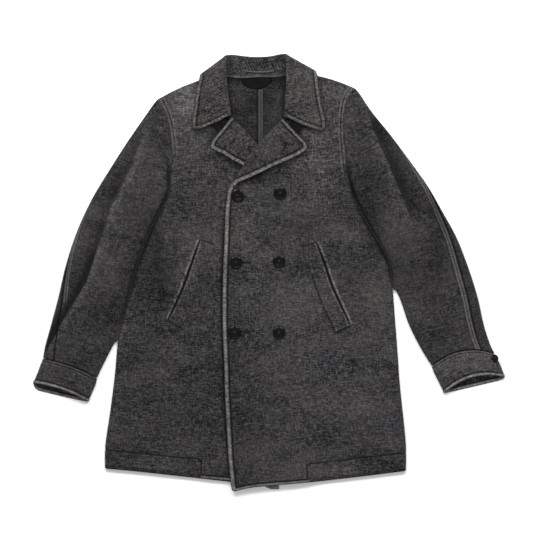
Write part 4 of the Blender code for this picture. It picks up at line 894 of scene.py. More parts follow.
def sleeve_skins(rows, body_rows, row_count, top_columns, under_columns):
    """Points and outward directions of the upper and the under sleeve, armhole to cuff seam."""
    curve = [row[:2] for row in reversed(body_rows[-ARMHOLE_ROWS:])]
    first, last = np.array(curve[0], float), np.array(curve[-1], float)

    def lean(place):
        return (spline(curve, place) - first - (last - first) * np.asarray(place)[..., None]).T

    def ring_at(share):
        row, fade = spline(rows, share), 1 - smooth(share / 0.42)
        # the inner fold is drawn up to the body's side where it lies beside it
        away = np.linalg.norm(body_side - row[2:4], axis=1)
        nearest = body_side[away.argmin()] + (side * SEAT_GAP, 0)
        drawn = (1 - smooth((away.min() - 4.0) / 3.5)) * smooth(share / 0.05)
        row[2:4] += (nearest - row[2:4]) * drawn
        way, slants = heading(rows, share, 0.02), []
        for first_value, place, step in ((0, 0.0, 0.06), (2, 1.0, -0.06)):
            fold = way[first_value : first_value + 2]
            section = (row[2:4] - row[:2]) * step + (lean(place + step) - lean(place)) * fade
            cross = abs(fold[0] * section[1] - fold[1] * section[0])
            slants.append(max(0.3, cross / np.linalg.norm(fold) / np.linalg.norm(section)))
        return ring_outline(row[:2], row[2:4], *row[4:7], lambda place: lean(place) * fade, slants)

    side = 1 if rows[0][0] > rows[0][2] else -1
    body_side = spline(body_rows, np.linspace(0, 1, 400))[:, :2]
    top_grid, under_grid = [], []
    for share in np.linspace(0, 1, row_count):
        ring = ring_at(share)
        ahead, behind = ring_at(min(1.0, share + 0.01)), ring_at(max(0.0, share - 0.01))
        outwards = np.cross(np.roll(ring, -1, axis=0) - np.roll(ring, 1, axis=0), ahead - behind) * side
        outwards /= np.linalg.norm(outwards, axis=1)[:, None]
        walls = np.hstack([ring, outwards])
        lengths = np.linalg.norm(np.roll(ring, -1, axis=0) - ring, axis=1)
        whole, seam = lengths.sum(), float(spline(rows, share)[7])
        inner = lengths[: len(lengths) // 2].sum() + INNER_SEAM
        top_grid.append(along_ring(walls, seam + JOIN_GAP, inner - JOIN_GAP, top_columns))
        under_grid.append(along_ring(walls, inner + JOIN_GAP, whole + seam - JOIN_GAP, under_columns))
    return np.array(top_grid), np.array(under_grid)


def ways_to(border, points):
    """Shortest ways from points to every stretch of a line of points."""
    starts, steps = border[:-1], np.diff(border, axis=0)
    share = ((points - starts) * steps).sum(axis=2) / np.maximum((steps**2).sum(axis=1), 1e-9)
    return starts + np.clip(share, 0, 1)[..., None] * steps - points


def seated(skins, border):
    """Both skins of a sleeve with their first rows drawn up to the border that they are sewn to."""
    ways = ways_to(border[:, :2], skins[0][0, :, None, :2])
    away = np.linalg.norm(ways, axis=2)
    nearest = away.argmin(axis=1)
    columns = np.arange(len(nearest))
    away = away[columns, nearest]
    pull = np.where(away < SEAT_REACH, np.maximum(0, 1 - SEAT_GAP / np.maximum(away, 1e-6)), 0)
    move = ways[columns, nearest] * pull[:, None]
    fade = 1 - smooth(spans(skins[0])[1] / 16.0)
    for skin in skins:
        skin[..., :2] += move * fade[..., None]
    return skins


# the stitched band along the back seam: where, half width, strength
BACK_SEAM = [(0.6, 1.1, 0.9), (3.8, 2.3, -1.5), (7.0, 1.0, 0.6), (10.2, 2.3, -1.5), (13.6, 1.5, 0.6)]
for side_name, side, rows, front_rows in (
    ("right", -1, RIGHT_SLEEVE_ROWS, RIGHT_FRONT_ROWS),
    ("left", 1, LEFT_SLEEVE_ROWS, LEFT_FRONT_ROWS),
):
    grids = sleeve_skins(rows, front_rows, row_count=130, top_columns=84, under_columns=56)
    # the right one's seam runs in under a fold towards the cuff
    seen = 470 if side < 0 else END
    band = [("u0", place, "v0", 120, seen, width, strength) for place, width, strength in BACK_SEAM]
    for part, grid, sewn, armhole, flat, area in (
        ("top", grids[0], band, armholes[side_name][1], (250, 640), 0.083),
        ("under", grids[1], [("u1", 1.5, "v0", 0, END, *SEWN)], armholes[side_name][0], (220, 600), 0.070),
    ):
        place, out = grid[..., :3], grid[..., 3:]
        out /= np.linalg.norm(out, axis=2)[..., None]
        distances = spans(place)
        border, v0 = np.minimum.reduce(distances), distances[1]
        round_off = np.maximum(edge_drop(border, 1.6) * smooth(v0 / 3.0), edge_drop(v0, 0.7))[..., None]
        skins = [place - out * round_off, place - out * (SLEEVE_CLOTH - round_off)]
        outer, inner = seated(skins, armhole)
        name = f"{part}_sleeve_{side_name}"
        shade, warm = wear_and_shade(place)
        shade = shade - (0.22 if part == "under" else 0)
        mesh = cloth_mesh(name + "_cloth", outer, inner, NO_BEAD, shade, warm=warm)
        wool = boiled_wool(name + "_wool", sewn, turn=SLEEVE_GRAIN * side, nap=0.75, weave=0.8)
        lay_cloth(mesh, wool)

# --- Cuffs ------------------------------------------------------------------------------------
# A band of doubled wool sewn round the end of each sleeve, its free edge swelled and stitched.
# They lie a little open, so that the inside of the lower half shows beyond the upper edge.

RIGHT_CUFF_ROWS = [
    # outer_x, outer_y, inner_x, inner_y, bow_top, bow_under, height
    (-477.2, -178, -363.2, -219, 6, 2, 20.5), (-482, -190, -366, -231, 6, 0, 22),
    (-489, -209, -374, -250, 6, -7, 22), (-498, -229, -382, -269, 7, -13, 21),
]
LEFT_CUFF_ROWS = [
    (472.6, -168, 339.5, -194.1, 20, 0, 20.5), (479, -180, 345, -208, 20, 0, 22),
    (487, -198, 356, -230, 19, -2, 22), (494, -217, 366, -251, 18, -4, 21),
]


def cuff_ring(rows, share):
    """Points once round a cuff."""
    ox, oy, ix, iy, bow_top, bow_under, height = spline(rows, share)
    return ring_outline((ox, oy), (ix, iy), bow_top, bow_under, height, lambda place: (0, 0))


def cuff_surface(rows, row_count, columns):
    """Rows of points round a cuff, from its seam to its free edge."""
    grid = []
    for share in np.linspace(0, 1, row_count):
        ring = cuff_ring(rows, share)
        whole = np.linalg.norm(np.roll(ring, -1, axis=0) - ring, axis=1).sum()
        grid.append(along_ring(ring, 0, whole, columns)[:-1])
    return np.array(grid)


for side_name, side, rows in (("right", -1, RIGHT_CUFF_ROWS), ("left", 1, LEFT_CUFF_ROWS)):
    grid = cuff_surface(rows, row_count=40, columns=170)
    wide = np.concatenate([grid[:, -1:], grid, grid[:, :1]], axis=1)
    out = outward_normals(wide, side)[:, 1:-1]
    _, v0, _, v1 = spans(grid)
    round_off = edge_drop(np.minimum(v0, v1), 1.7)[..., None]
    seam = -0.7 * hump(v0 - 7.0, 1.6)
    edge = v1 * 1.4  # a narrower roll than the coat's other edges have
    outer = grid + out * ((bead(edge) * 0.7 + seam)[..., None] - round_off)
    inner = grid - out * (SLEEVE_CLOTH - round_off)
    shade = -0.06 if side < 0 else 0.34
    mesh = cloth_mesh(f"cuff_{side_name}_cloth", outer, inner, edge, shade, closed=True)
    sewn = [("v0", 0.8, "v0", 0, 90, 1.2, 0.9), ("v0", 3.4, "v0", 0, 90, 1.5, -0.7)]
    sewn += [("v0", 6.4, "v0", 0, 90, 1.1, 0.7), ("v0", 9.0, "v0", 0, 90, 1.5, -0.4)]
    wool = boiled_wool(f"cuff_{side_name}_wool", sewn, turn=SLEEVE_GRAIN * side)
    flat, area = ((280, 55), 0.0142) if side < 0 else ((310, 55), 0.0160)
    lay_cloth(mesh, wool)

# --- Collar -----------------------------------------------------------------------------------
# One curved piece with its band: sewn to the neck, standing behind it, rolled over and falling
# outwards. Its leaves lie on the fronts, the rest of its fall lies under the back.

COLLAR_CLOTH, COLLAR_ROLL = 3.6, 3.4
LEAF_BOW, LEAF_CORNER = 3.5, 12.0


def collar_surface(row_count, stand_columns, roll_columns, fall_columns):
    """Middle of the collar's cloth: neck seam, stand, roll and fall, gorge to gorge."""
    half = COLLAR_CLOTH / 2
    grid = []
    for share in np.linspace(0, 1, row_count):
        sx, sy, rx, ry, ex, ey, facing = spline(COLLAR_ROWS, share)
        lean = min(1.0, max(-1.0, facing)) * math.pi / 2
        side = 1 if share > 0.5 else -1
        top = left_front_top if side > 0 else body_top
        seam, roll, edge = np.array([sx, sy, 0]), np.array([rx, ry, 0]), np.array([ex, ey, 0])
        along = (roll - seam) / np.linalg.norm(roll - seam)
        outward = np.array([-along[1], along[0], 0]) * -side
        apart = np.array([0, 0, math.sin(lean)]) + outward * math.cos(lean)
        front = (math.sin(lean) + 1) / 2
        stand_front = top(sx, sy) - half
        stand_z = (NECK_LIFT + half) * (1 - front) + stand_front * front
        middle_z = (half + COLLAR_ROLL) * (1 - front) + (stand_front + COLLAR_ROLL) * front
        centre = roll - along * (COLLAR_ROLL + half)
        centre[2] = middle_z
        near, far = centre - apart * COLLAR_ROLL, centre + apart * COLLAR_ROLL
        start = np.array([sx, sy, stand_z])
        share_up = np.linspace(0, 1, stand_columns + 1)[:-1, None]
        stand = start + (near - start) * share_up
        angle = np.linspace(0, math.pi, roll_columns + 1)[:, None]
        rolled = centre + (along * np.sin(angle) - apart * np.cos(angle)) * COLLAR_ROLL
        inset = (roll - edge) / np.linalg.norm(roll - edge) * half
        share_down = np.linspace(0, 1, fall_columns + 1)[1:, None]
        fall = far + (edge + inset - far) * share_down
        above = top(fall[:, 0], fall[:, 1]) + 0.5 + half
        lying = half * (1 - front) + above * front
        settle = smooth(share_down[:, 0] * 1.5)
        fall[:, 2] = far[2] * (1 - settle) + lying * settle
        fall[:, 1] -= LEAF_BOW * bulge(share_down[:, 0]) * smooth(1 - min(share, 1 - share) / 0.1)
        grid.append(np.concatenate([stand, rolled, fall]))
    return np.array(grid)


def to_border(grid, border):
    """Distances of a grid's points from a line of points along its border."""
    ways = ways_to(border, grid.reshape(-1, 1, 3))
    return np.linalg.norm(ways, axis=2).min(axis=1).reshape(grid.shape[:2])


def doubled_cloth(name, grid, turn, wall, edge, shade, warm=1.0):
    """A piece turned and pressed double: round at its edges, swelled on the side that turn names."""
    out = outward_normals(grid, turn)
    borders = (grid[0], grid[-1], grid[:, -1], grid[:, 0])
    border = np.minimum.reduce([to_border(grid, line) for line in borders])
    thick = (wall / 2 - edge_drop(border, wall / 2 * 0.96))[..., None]
    outer = grid + out * (thick + bead(edge)[..., None])
    inner = grid - out * thick
    return cloth_mesh(name, outer, inner, edge, shade, warm=warm)


STAND_COLUMNS = 12
grid = collar_surface(row_count=220, stand_columns=STAND_COLUMNS, roll_columns=10, fall_columns=46)
round_corner(grid, True, LEAF_CORNER)
round_corner(grid, False, LEAF_CORNER)
edge = np.minimum.reduce([to_border(grid, line) for line in (grid[:, -1], grid[0], grid[-1])])
edge = edge * 1.3 + NO_BEAD * (1 - smooth((spans(grid)[0] - 12.0) / 8.0))
# the stand is painted darker with shade, most at both ends where the leaf overhangs it; its dye is bluer
stand = (1 - smooth((np.arange(grid.shape[1]) - STAND_COLUMNS - 0.5) / 4.0))[None, :]
stand_ends = hump(grid[..., 0] + 86, 9) + hump(grid[..., 0] - 29, 9)
shade = 0.20 - stand * (0.08 + 0.55 * stand_ends)
mesh = doubled_cloth("collar_cloth", grid, 1, COLLAR_CLOTH, edge, shade, 1.0 - 1.7 * stand)
sewn = [("u0", 0.3, "v0", 0, END, 1.2, 0.9), ("u0", 4.2, "v0", 0, END, 1.7, -1.1)]
wool = boiled_wool("collar_wool", sewn, turn=18, nap=1.35, rub=0.32, ribs=(5.9, 15.0, 46.0))
lay_cloth(mesh, wool)

# --- Lapels -----------------------------------------------------------------------------------
# The upper fronts turned back on their roll lines, so that the facing shows, each with a swelled
# edge and a worked buttonhole near its point.

LAPEL_CLOTH, LAPEL_GAP, LAPEL_CORNER = 3.2, 1.1, 9.0
LAPEL_FOOT = 1.3  # its thickness where it runs into the front's edge
RIGHT_LAPEL_ROWS = [
    # roll_y, edge_x, edge_y, roll, lift (1 on the front, 0 where the lapel runs into its edge)
    (330, -126, 274, 3.6, 1), (323, -125, 263, 3.6, 1), (313, -101, 251, 3.6, 1),
    (299, -82, 239, 3.4, 1), (285, -63, 229, 3.0, 1), (266, -44, 217, 2.6, 1), (246, -27, 205, 2.6, 1),
    (227, -10, 197, 2.6, 1), (204, 7, 187, 2.6, 1), (182, 25, 172, 2.6, 1),
]
LEFT_LAPEL_ROWS = [
    (326, 81, 269, 3.8, 1), (320, 77, 259, 3.8, 1), (309, 59, 247, 3.8, 1), (294, 38, 237, 3.8, 1),
    (281, 15, 227, 3.8, 1), (269, -4, 218, 3.8, 1), (254, -25, 208, 3.8, 1), (237, -42, 200.5, 3.6, 1),
    (219, -56, 194.5, 3.2, 1), (205, -67, 189, 2.7, 0.95), (193, -74.2, 181, 2.1, 0.8),
    (180, -79.4, 171.5, 1.6, 0.5), (166, -82, 159, 1.2, 0.2), (152, -82.8, 146, 0.9, 0),
]
LAPEL_HOLES = {"right": (-85, 270, -72, 284.5), "left": (23, 289, 34, 266)}


def lapel_surface(rows, front_rows, top, row_count, roll_columns, across):
    """Middle of a lapel's cloth, round the roll from the front's edge and outwards, and its wall."""
    roll_line = spline(front_rows, np.linspace(0.4, 1, 241))
    grid, walls = [], []
    for share in np.linspace(0, 1, row_count):
        ry, ex, ey, radius, lift = spline(rows, share)
        lift = min(1.0, max(0.0, lift))
        wall = LAPEL_FOOT + (LAPEL_CLOTH - LAPEL_FOOT) * lift
        half = wall / 2
        roll, edge = np.array([np.interp(ry, roll_line[:, 3], roll_line[:, 2]), ry]), np.array([ex, ey])
        width = np.linalg.norm(edge - roll)
        way = (edge - roll) / width
        roll = roll + way * 0.8 * (1 - lift)
        centre_in = radius + half
        base = top(*(roll + way * centre_in)) - CLOTH / 2
        turn = np.linspace(-math.pi / 2, math.pi / 2, roll_columns + 1)
        inward = np.concatenate([[centre_in + 1.2], centre_in - radius * np.cos(turn)])
        height = np.concatenate([[base], base + radius * (1 + np.sin(turn))])
        run = max(width - centre_in - half, 4.0)
        column = np.linspace(0, 1, across + 1)[1:]
        flat_x, flat_y = (roll[:, None] + way[:, None] * (centre_in + run * column))
        start_z = base + 2 * radius
        lying = top(flat_x, flat_y) + (LAPEL_GAP + half) * lift - 0.2 * (1 - lift)
        settle = np.maximum(1 - lift if lift <= 0.99 else 0, smooth(run * column / 26.0))
        inward = np.concatenate([inward, centre_in + run * column])
        height = np.concatenate([height, start_z + (lying - start_z) * settle])
        grid.append(np.column_stack([roll + way * inward[:, None], height]))
        walls.append(wall)
    return np.array(grid), np.array(walls)[:, None]


for side_name, side, rows, front_rows, top in (
    ("right", -1, RIGHT_LAPEL_ROWS, RIGHT_FRONT_ROWS, body_top),
    ("left", 1, LEFT_LAPEL_ROWS, LEFT_FRONT_ROWS, left_front_top),
):
    grid, wall = lapel_surface(rows, front_rows, top, row_count=170, roll_columns=10, across=60)
    round_corner(grid, True, LAPEL_CORNER)
    notch = to_border(grid, grid[0, 8:])
    edge = np.minimum(to_border(grid, grid[:, -1]) * 1.1, notch * 1.4)
    shade = 0.06 - 0.34 * smooth((14.0 - notch) / 7.0)
    mesh = doubled_cloth(f"lapel_{side_name}_cloth", grid, side, wall, edge, shade)
    hole = [LAPEL_HOLES[side_name]]
    wool = boiled_wool(
        f"lapel_{side_name}_wool", holes=hole, turn=-30 * side, nap=1.3, rub=0.80, slit_depth=0.8
    )
    lay_cloth(mesh, wool)

# --- Buttonholes ------------------------------------------------------------------------------
# Three on the left front, which its outer buttons fill, and one on each lapel: slits whose edges
# are whipped over with dark twisted thread, which has faded on the lapels.

HOLE_HALF_WIDTH, PURL_RADIUS, PURL_PITCH = 1.5, 0.6, 1.5


def new_thread(name, colour, pitch):
    """Twisted thread with its plies drawn across it."""
    material, shader, start = new_material(name)
    spot = start.node("TexCoord", output=3)
    ply = spot.stripes(pitch, "DIAGONAL")
    tone = (0.3 + ply * 0.7 + spot.speckle(2400.0, 2.0) * 0.6).tints(colour)
    give_finish(shader, tone, ply, 0.2, 0.8, 0.6 + ply * 0.1)
    return material


def tube_mesh(name, rings, joined):
    """A tube round rings of points, which runs back into itself or is closed at both ends."""
    cell = np.arange(rings.shape[0] * rings.shape[1]).reshape(rings.shape[:2])
    after, beside = np.roll(cell, -1, axis=0), np.roll(cell, -1, axis=1)
    faces = np.stack([cell, after, np.roll(after, -1, axis=1), beside], axis=-1)
    faces = faces[: None if joined else -1].reshape(-1, 4).tolist()
    caps = [] if joined else [cell[0][::-1].tolist(), cell[-1].tolist()]
    mesh = bpy.data.meshes.new(name)
    mesh.from_pydata((rings.reshape(-1, 3) * MM).tolist(), [], faces + caps)
    face_outwards(mesh)
    return mesh


hole_thread = new_thread("buttonhole_thread", (0.005, 0.0049, 0.005), 700.0)
faded_thread = new_thread("lapel_hole_thread", (0.019, 0.018, 0.018), 700.0)
for number, (cloth_name, (x1, y1, x2, y2)) in enumerate(
    [("front_left_cloth", hole) for hole in BUTTONHOLES]
    + [(f"lapel_{side_name}_cloth", hole) for side_name, hole in LAPEL_HOLES.items()]
):
    ground = np.array([vertex.co for vertex in bpy.data.objects[cloth_name].data.vertices]) / MM
    ground = ground[: len(ground) // 2]
    length = math.hypot(x2 - x1, y2 - y1)
    way = np.array([x2 - x1, y2 - y1]) / length
    straight = np.arange(0, length, 0.5) - length / 2
    bend = np.linspace(0, math.pi, 9)[1:-1]
    round_end = np.stack([np.sin(bend), np.cos(bend)], axis=1) * HOLE_HALF_WIDTH
    sides = [np.stack([straight, 0 * straight + HOLE_HALF_WIDTH], axis=1), round_end + (length / 2, 0)]
    ring = np.concatenate([*sides, -sides[0], -sides[1]])
    path = ring[:, :1] * way + ring[:, 1:] * (-way[1], way[0]) + ((x1 + x2) / 2, (y1 + y2) / 2)
    height = []
    for point in path:
        away = np.hypot(*(ground[:, :2] - point).T)
        near = np.argsort(away)[:4]
        height.append((ground[near, 2] / (away[near] + 0.1)).sum() / (1 / (away[near] + 0.1)).sum())
    height = np.convolve(np.concatenate([height[-4:], height, height[:4]]), np.ones(9) / 9, "valid")
    run = walked_along(path)
    thick = PURL_RADIUS * (1 + 0.3 * np.cos(2 * math.pi * run / PURL_PITCH))[:, None]
    ahead = np.roll(path, -1, axis=0) - np.roll(path, 1, axis=0)
    out = np.stack([ahead[:, 1], -ahead[:, 0]], axis=1) / np.linalg.norm(ahead, axis=1)[:, None]
    turn = np.linspace(0, 2 * math.pi, 9)[:-1]
    flat = path[:, None] + out[:, None] * (thick * np.cos(turn))[..., None]
    upright = height[:, None] + 0.15 + thick * np.sin(turn)
    mesh = tube_mesh(f"buttonhole_{number + 1}", np.concatenate([flat, upright[..., None]], axis=2), True)
    add_piece(mesh, hole_thread if number < len(BUTTONHOLES) else faded_thread)

# --- Pocket welts -----------------------------------------------------------------------------
# Slanting patches stitched down inside the pocket mouths, which open towards the side seams. The
# mouths gape a little in the middle, and the lips on both sides of the opening have rubbed pale.

WELT_CLOTH, WELT_STEP, WELT_LIP, WELT_CORNER = 2.2, 0.35, 7.0, 5.0
MOUTH_WIDTH = (1.2, 3.2)  # at its ends, and by how much more in the middle
# mouth_x, mouth_y, width
RIGHT_WELT_ROWS = [(-146, 73, 33), (-166, 12, 30), (-187, -44, 29), (-215, -100, 30)]
LEFT_WELT_ROWS = [(96, 68, 33), (114, 18, 32), (131, -31, 33), (169, -110, 36)]


def welt_surface(rows, side, top, row_count):
    """The front's face from the outer lip of a pocket mouth to the welt's sewn edge.

    With it come each point's distance in from the mouth and how far the mouth gapes there.
    """
    share = np.linspace(0, 1, row_count)
    x, y, width = spline(rows, share).T[:, :, None]
    way = heading(rows, share, 0.05)
    way_x, way_y, _ = (way / np.hypot(way[:, 0], way[:, 1])[:, None]).T[:, :, None]
    gape = (MOUTH_WIDTH[0] + MOUTH_WIDTH[1] * bulge(share) ** 0.8)[:, None]
    lip = -gape - WELT_LIP * (1 - np.linspace(0, 1, 12)[:-1] ** 1.2)
    mouth = -gape * (1 - np.linspace(0, 1, 8)[:-1])
    patch = width * np.linspace(0, 1, 40) ** 1.3
    inward = np.concatenate([lip, mouth, patch], axis=1)
    px, py = x + side * way_y * inward, y - side * way_x * inward
    return np.stack([px, py, top(px, py)], axis=2), inward, gape


for side_name, side, rows, top in (
    ("right", -1, RIGHT_WELT_ROWS, body_top),
    ("left", 1, LEFT_WELT_ROWS, left_front_top),
):
    grid, inward, gape = welt_surface(rows, side, top, row_count=120)
    u0, v0, u1, v1 = spans(grid)
    ends = np.minimum(v0, v1)
    open_here = smooth((ends - 1.0) / 5.0)
    on_welt = smooth(inward / 1.6)
    on_lip = smooth((-gape - inward) / 1.4)
    lip = on_lip * hump(-gape - inward - 2.8, 2.4)
    sewn = np.minimum(u1, ends)
    rise = on_welt * (WELT_CLOTH - edge_drop(sewn, 2.0) * 0.8) * smooth(ends / 2.5)
    rise = rise + 0.5 * on_welt * hump(inward - 2.4, 1.8) * open_here
    rise = rise - 0.45 * hump(sewn - 3.2, 1.1) * on_welt + 1.5 * lip * open_here
    floor = WELT_STEP + 0.25 * smooth(u0 / 3.0)
    outer = grid + np.stack([0 * rise, 0 * rise, floor + np.maximum(rise, 0)], axis=2)
    inner = grid + np.array((0, 0, 0.15))
    for skin in (outer, inner):
        round_corner(skin, True, WELT_CORNER)
        round_corner(skin, False, WELT_CORNER)
    # painted shade in the gaping pocket mouth
    dark = smooth((inward + gape + 0.5) / 0.9) * smooth((0.7 - inward) / 0.9)
    worn_lip = 1.9 * lip + 1.2 * on_welt * hump(inward - 2.0, 1.8)
    shade, warm = wear_and_shade(grid)
    shade = shade + worn_lip * open_here - 1.5 * dark * open_here
    mesh = cloth_mesh(f"pocket_welt_{side_name}_cloth", outer, inner, NO_BEAD, shade, warm=warm)
    sewn_rows = [
        ("v0", 1.6, "u1", 0, 34, 1.7, 0.9),
        ("v1", 1.8, "u1", 0, 34, 2.5, 1.0 if side > 0 else 0.7),
    ]
    if side > 0:
        sewn_rows += [("v1", 6.4, "u1", 0, 32, 2.0, -0.8)]
        sewn_rows += [("u1", 2.2, "v0", 62, END, 2.6, 0.75), ("u1", 6.0, "v0", 50, END, 1.6, -0.4)]
    else:
        sewn_rows += [("u1", 1.6, "v1", 8, 46, 1.4, -0.7), ("u1", 4.4, "v0", 40, END, 1.6, 0.35)]
    wool = boiled_wool(f"pocket_welt_{side_name}_wool", sewn_rows)
    lay_cloth(mesh, wool)

# --- Neck tape and label ----------------------------------------------------------------------
# A narrow herringbone tape covers the centre seam inside the neck, and a half-moon patch of black
# satin, left bare, is sewn on below the collar.

TRIM_CLOTH = 0.9
TAPE_X, TAPE_WIDTH, TAPE_ENDS = -19.7, 10.2, (262.0, 388.0)
LABEL_X, LABEL_Y, LABEL_RADII = -28.5, 409.8, (32.0, 21.0)
TAPE_GREY, LABEL_BLACK = (0.027, 0.0258, 0.0266), (0.0040, 0.0040, 0.0044)


def trim_mesh(name, grid):
    """A thin flat trim on the back, with its own rounded edges."""
    border = np.minimum.reduce(spans(grid))
    up = np.array((0, 0, 1.0))
    drop = edge_drop(border, TRIM_CLOTH / 2)[..., None]
    return cloth_mesh(name, grid + up * (TRIM_CLOTH - drop), grid + up * drop, border, 0.0)


column, share = np.meshgrid(np.linspace(-0.5, 0.5, 9), np.linspace(*TAPE_ENDS, 62))
x = TAPE_X + TAPE_WIDTH * column
grid = np.stack([x, share, CLOTH + neck_lift(x, share) + LAPEL_GAP], axis=2)
mesh = trim_mesh("back_seam_tape_cloth", grid)
material, shader, start = new_material("herringbone_tape")
uv = start.node("UVMap", {"uv_map": "cloth"})
edge = start.node("Attribute", {"attribute_name": "edge"}, output=2)
weave, soil = uv.stripes(150.0, "DIAGONAL"), uv.speckle(210.0, 3.0)
tone = 0.26 + weave * 0.22 + (soil - 0.5) * 2.2 + edge.line(1.5, 1.5) * 0.75 - edge.line(3.4, 1.0) * 0.3
give_finish(shader, tone.at_least(0.08).tints(TAPE_GREY), weave, 0.3, 0.8, 0.7 + soil * 0.2)
lay_cloth(mesh, material)

turn, share = np.meshgrid(np.linspace(math.pi, 2 * math.pi, 64), np.linspace(0.02, 1, 16))
x = LABEL_X + LABEL_RADII[0] * share * np.cos(turn)
y = LABEL_Y + LABEL_RADII[1] * share * np.sin(turn)
grid = np.stack([x, y, np.full_like(x, CLOTH + neck_lift(CENTRE_X, LABEL_Y) + 0.5)], axis=2)
mesh = trim_mesh("neck_label_cloth", grid)
material, shader, start = new_material("black_satin")
spot = start.node("TexCoord", output=3)
satin, soil = spot.stripes(900.0), spot.speckle(90.0, 3.0)
colour = (0.6 + soil * 0.8).tints(LABEL_BLACK)
give_finish(shader, colour, satin + soil, 0.15, 0.6, 0.55 + soil * 0.15, Specular_IOR_Level=0.04)
lay_cloth(mesh, material)

# --- Hanging loop -----------------------------------------------------------------------------
# A stitched tube of the wool, about 3.5 mm thick and 62 mm long. It is sewn down at both ends, just
# inside the fold of the collar, and stands up a little in the middle.

LOOP_RADIUS, LOOP_REACH, LOOP_GREY = 1.7, 31.0, (0.055, 0.052, 0.054)
loop_z = NECK_LIFT + COLLAR_CLOTH + 1.0 + LOOP_RADIUS
points = []
for share in np.linspace(-1, 1, 49):
    middle_y, middle_z = 424.0 + 3.0 * share**2, loop_z + 1.6 * (1 - share**2)
    middle = np.array([CENTRE_X + 2 + LOOP_REACH * share, middle_y, middle_z])
    turn = np.linspace(0, 2 * math.pi, 17)[:-1]
    size = LOOP_RADIUS * (1 + 0.06 * math.sin(38 * share)) * min(1.0, 0.55 + (1 - abs(share)) * 12)
    points.append(middle + np.stack([0 * turn, np.cos(turn) * size, np.sin(turn) * size], axis=1))
mesh = tube_mesh("hanger_loop_cloth", np.array(points), False)
material, shader, start = new_material("loop_wool")
spot = start.node("TexCoord", output=3)
twist, fluff = spot.stripes(160.0, "DIAGONAL", 2.0), spot.speckle(700.0, 3.0)
colour = (0.6 + twist * 0.35 + (fluff - 0.5) * 1.6).tints(LOOP_GREY)
give_finish(shader, colour, twist + fluff, 0.5, 0.8, 0.85 + fluff * 0.1, Sheen_Weight=0.25)
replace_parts(add_piece(mesh, material), "hanger_loop")

# --- Buttons ----------------------------------------------------------------------------------
# Six turned buttons of dark polished horn on the fronts, and a small one on the left cuff: a broad
# round rim, a sunk face with four holes, and crossed dark thread through them.

FRONT_BUTTON_RADIUS, CUFF_BUTTON_RADIUS = 13.5, 8.0
BUTTON_HEIGHT = 4.6
CUFF_BUTTON_ALONG = (13.0, 17.0)  # two places round the cuff, from its outer fold
HOLE_PLACE, HOLE_RADIUS, THREAD_RADIUS = 0.2, 0.095, 0.06  # as shares of the button's radius
BUTTON_PLACES = [(-68, 165), (-71, 25), (-74, -122), (21, 170), (19, 27), (19, -123)]
BUTTON_PROFILE = [
    # share of the radius and of the height, from the middle of the back round to that of the face
    (0.62, 0.0), (0.82, 0.05), (0.94, 0.26), (1.0, 0.52), (0.985, 0.70), (0.94, 0.85), (0.87, 0.95),
    (0.79, 1.0), (0.71, 0.99), (0.655, 0.80), (0.60, 0.76), (0.45, 0.78), (0.30, 0.76), (0.0, 0.75),
]


def turned_blank(name, radius):
    """A button turned from its profile, with four holes bored through it."""
    bpy.ops.object.select_all(action="DESELECT")
    bpy.ops.mesh.primitive_plane_add(size=1, location=(0, 0, 0))
    button = bpy.context.object
    button.name = name
    bpy.ops.object.mode_set(mode="EDIT")
    bpy.ops.mesh.select_all(action="SELECT")
    bpy.ops.mesh.merge(type="CENTER")
    here = (0.0, 0.0)
    for out, up in BUTTON_PROFILE:
        there = (out * radius, up * BUTTON_HEIGHT)
        step = (there[0] - here[0], 0, there[1] - here[1])
        bpy.ops.mesh.extrude_region_move(TRANSFORM_OT_translate={"value": step})
        here = there
    bpy.ops.mesh.select_all(action="SELECT")
    bpy.ops.mesh.spin(steps=64, angle=2 * math.pi, center=(0, 0, 0), axis=(0, 0, 1))
    bpy.ops.mesh.select_all(action="SELECT")
    bpy.ops.mesh.remove_doubles(threshold=0.005)
    bpy.ops.mesh.normals_make_consistent(inside=False)
    bpy.ops.object.mode_set(mode="OBJECT")
    for k in range(4):
        bpy.ops.object.select_all(action="DESELECT")
        angle = math.pi / 4 + k * math.pi / 2
        hole_at = (radius * HOLE_PLACE * math.cos(angle), radius * HOLE_PLACE * math.sin(angle), 0)
        bpy.ops.mesh.primitive_cylinder_add(
            vertices=20, radius=radius * HOLE_RADIUS, depth=BUTTON_HEIGHT * 3, location=hole_at
        )
        drill = bpy.context.object
        bore = button.modifiers.new("bore", "BOOLEAN")
        bore.object, bore.operation, bore.solver = drill, "DIFFERENCE", "EXACT"
        bpy.ops.object.select_all(action="DESELECT")
        bpy.context.view_layer.objects.active = button
        button.select_set(True)
        bpy.ops.object.modifier_apply(modifier="bore")
        bpy.data.objects.remove(drill)
    bpy.ops.object.shade_smooth_by_angle(angle=math.radians(35))
    return button


def crossed_thread(name, radius, number):
    """One of the two stitches that cross on a button's face and dip into its holes."""
    bpy.ops.object.select_all(action="DESELECT")
    reach = radius * HOLE_PLACE * 1.1
    rise = BUTTON_HEIGHT * 0.77 + radius * (0.03 + 0.05 * number)
    lying = (math.pi / 2, 0, math.pi / 4 + number * math.pi / 2)
    bpy.ops.mesh.primitive_cylinder_add(
        vertices=12, radius=radius * THREAD_RADIUS, depth=reach * 2, rotation=lying, location=(0, 0, rise)
    )
    strand = bpy.context.object
    strand.name = name
    bpy.ops.object.mode_set(mode="EDIT")
    bpy.ops.mesh.select_all(action="SELECT")
    bpy.ops.mesh.subdivide(number_cuts=3)
    bpy.ops.object.mode_set(mode="OBJECT")
    bpy.ops.object.transform_apply(location=True, rotation=True, scale=True)
    for vertex in strand.data.vertices:
        out = math.hypot(vertex.co.x, vertex.co.y) / reach
        vertex.co.z -= radius * 0.8 * max(0.0, out - 0.55) ** 2
    strand.data.shade_smooth()
    return strand


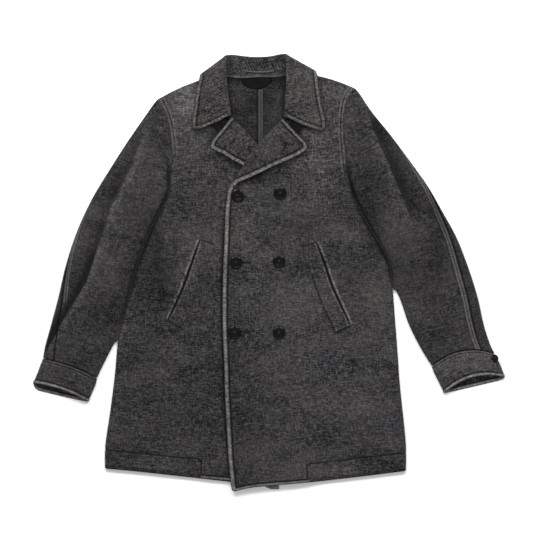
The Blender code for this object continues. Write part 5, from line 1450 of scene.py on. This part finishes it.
material, shader, start = new_material("polished_horn")
spot = start.node("TexCoord", output=3)
grain, scuff = spot.speckle(130.0, 4.0, 1.2), spot.speckle(900.0, 3.0)
ends = {0: grain.between(0.42, 0.72), 6: (0.0012, 0.0012, 0.0014, 1), 7: (0.0050, 0.0046, 0.0043, 1)}
colour = start.node("Mix", {"data_type": "RGBA"}, ends, 2)
rough = 0.17 + (scuff - 0.5) * 0.2 + (grain - 0.5) * 0.12
give_finish(shader, colour, scuff, 0.05, 0.4, rough, Specular_IOR_Level=0.19)
horn = material
waxed_thread = new_thread("button_thread", (0.016, 0.016, 0.018), 900.0)


def top_normal(top, x, y):
    """Upward direction of a top surface."""
    slope_x = (top(x + 5, y) - top(x - 5, y)) / 10
    slope_y = (top(x, y + 5) - top(x, y - 5)) / 10
    return Vector((-slope_x, -slope_y, 1)).normalized()


spots = []
for number, (x, y) in enumerate(BUTTON_PLACES, start=1):
    normal = top_normal(left_front_top, x, y)
    place = Vector((x, y, left_front_top(x, y))) + normal * 0.7
    spots.append((f"button_{number}", FRONT_BUTTON_RADIUS, place, normal, 0.3 * number))
ring = cuff_ring(LEFT_CUFF_ROWS, 0.33)
a, b = along_ring(ring, *CUFF_BUTTON_ALONG, 1)
c = along_ring(cuff_ring(LEFT_CUFF_ROWS, 0.43), *CUFF_BUTTON_ALONG, 1)[0]
normal = Vector(np.cross(b - a, c - a)).normalized()
normal = normal if normal.z > 0 else -normal
spots.append(("cuff_button", CUFF_BUTTON_RADIUS, Vector(a) + normal * 0.5, normal, 0.4))
for name, radius, place, normal, turn in spots:
    made = [turned_blank(name + "_turned", radius)]
    made += [crossed_thread(f"{name}_turned_thread_{k + 1}", radius, k) for k in range(2)]
    lay = Matrix.Translation(place) @ Vector((0, 0, 1)).rotation_difference(normal).to_matrix().to_4x4()
    lay = Matrix.Scale(MM, 4) @ lay @ Matrix.Rotation(turn, 4, "Z")
    for piece, look in zip(made, (horn, waxed_thread, waxed_thread)):
        piece.data.transform(lay @ piece.matrix_world)
        piece.matrix_world.identity()
        piece.data.materials.clear()
        piece.data.materials.append(look)
        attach(piece, "root")
    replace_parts(made[0], name)
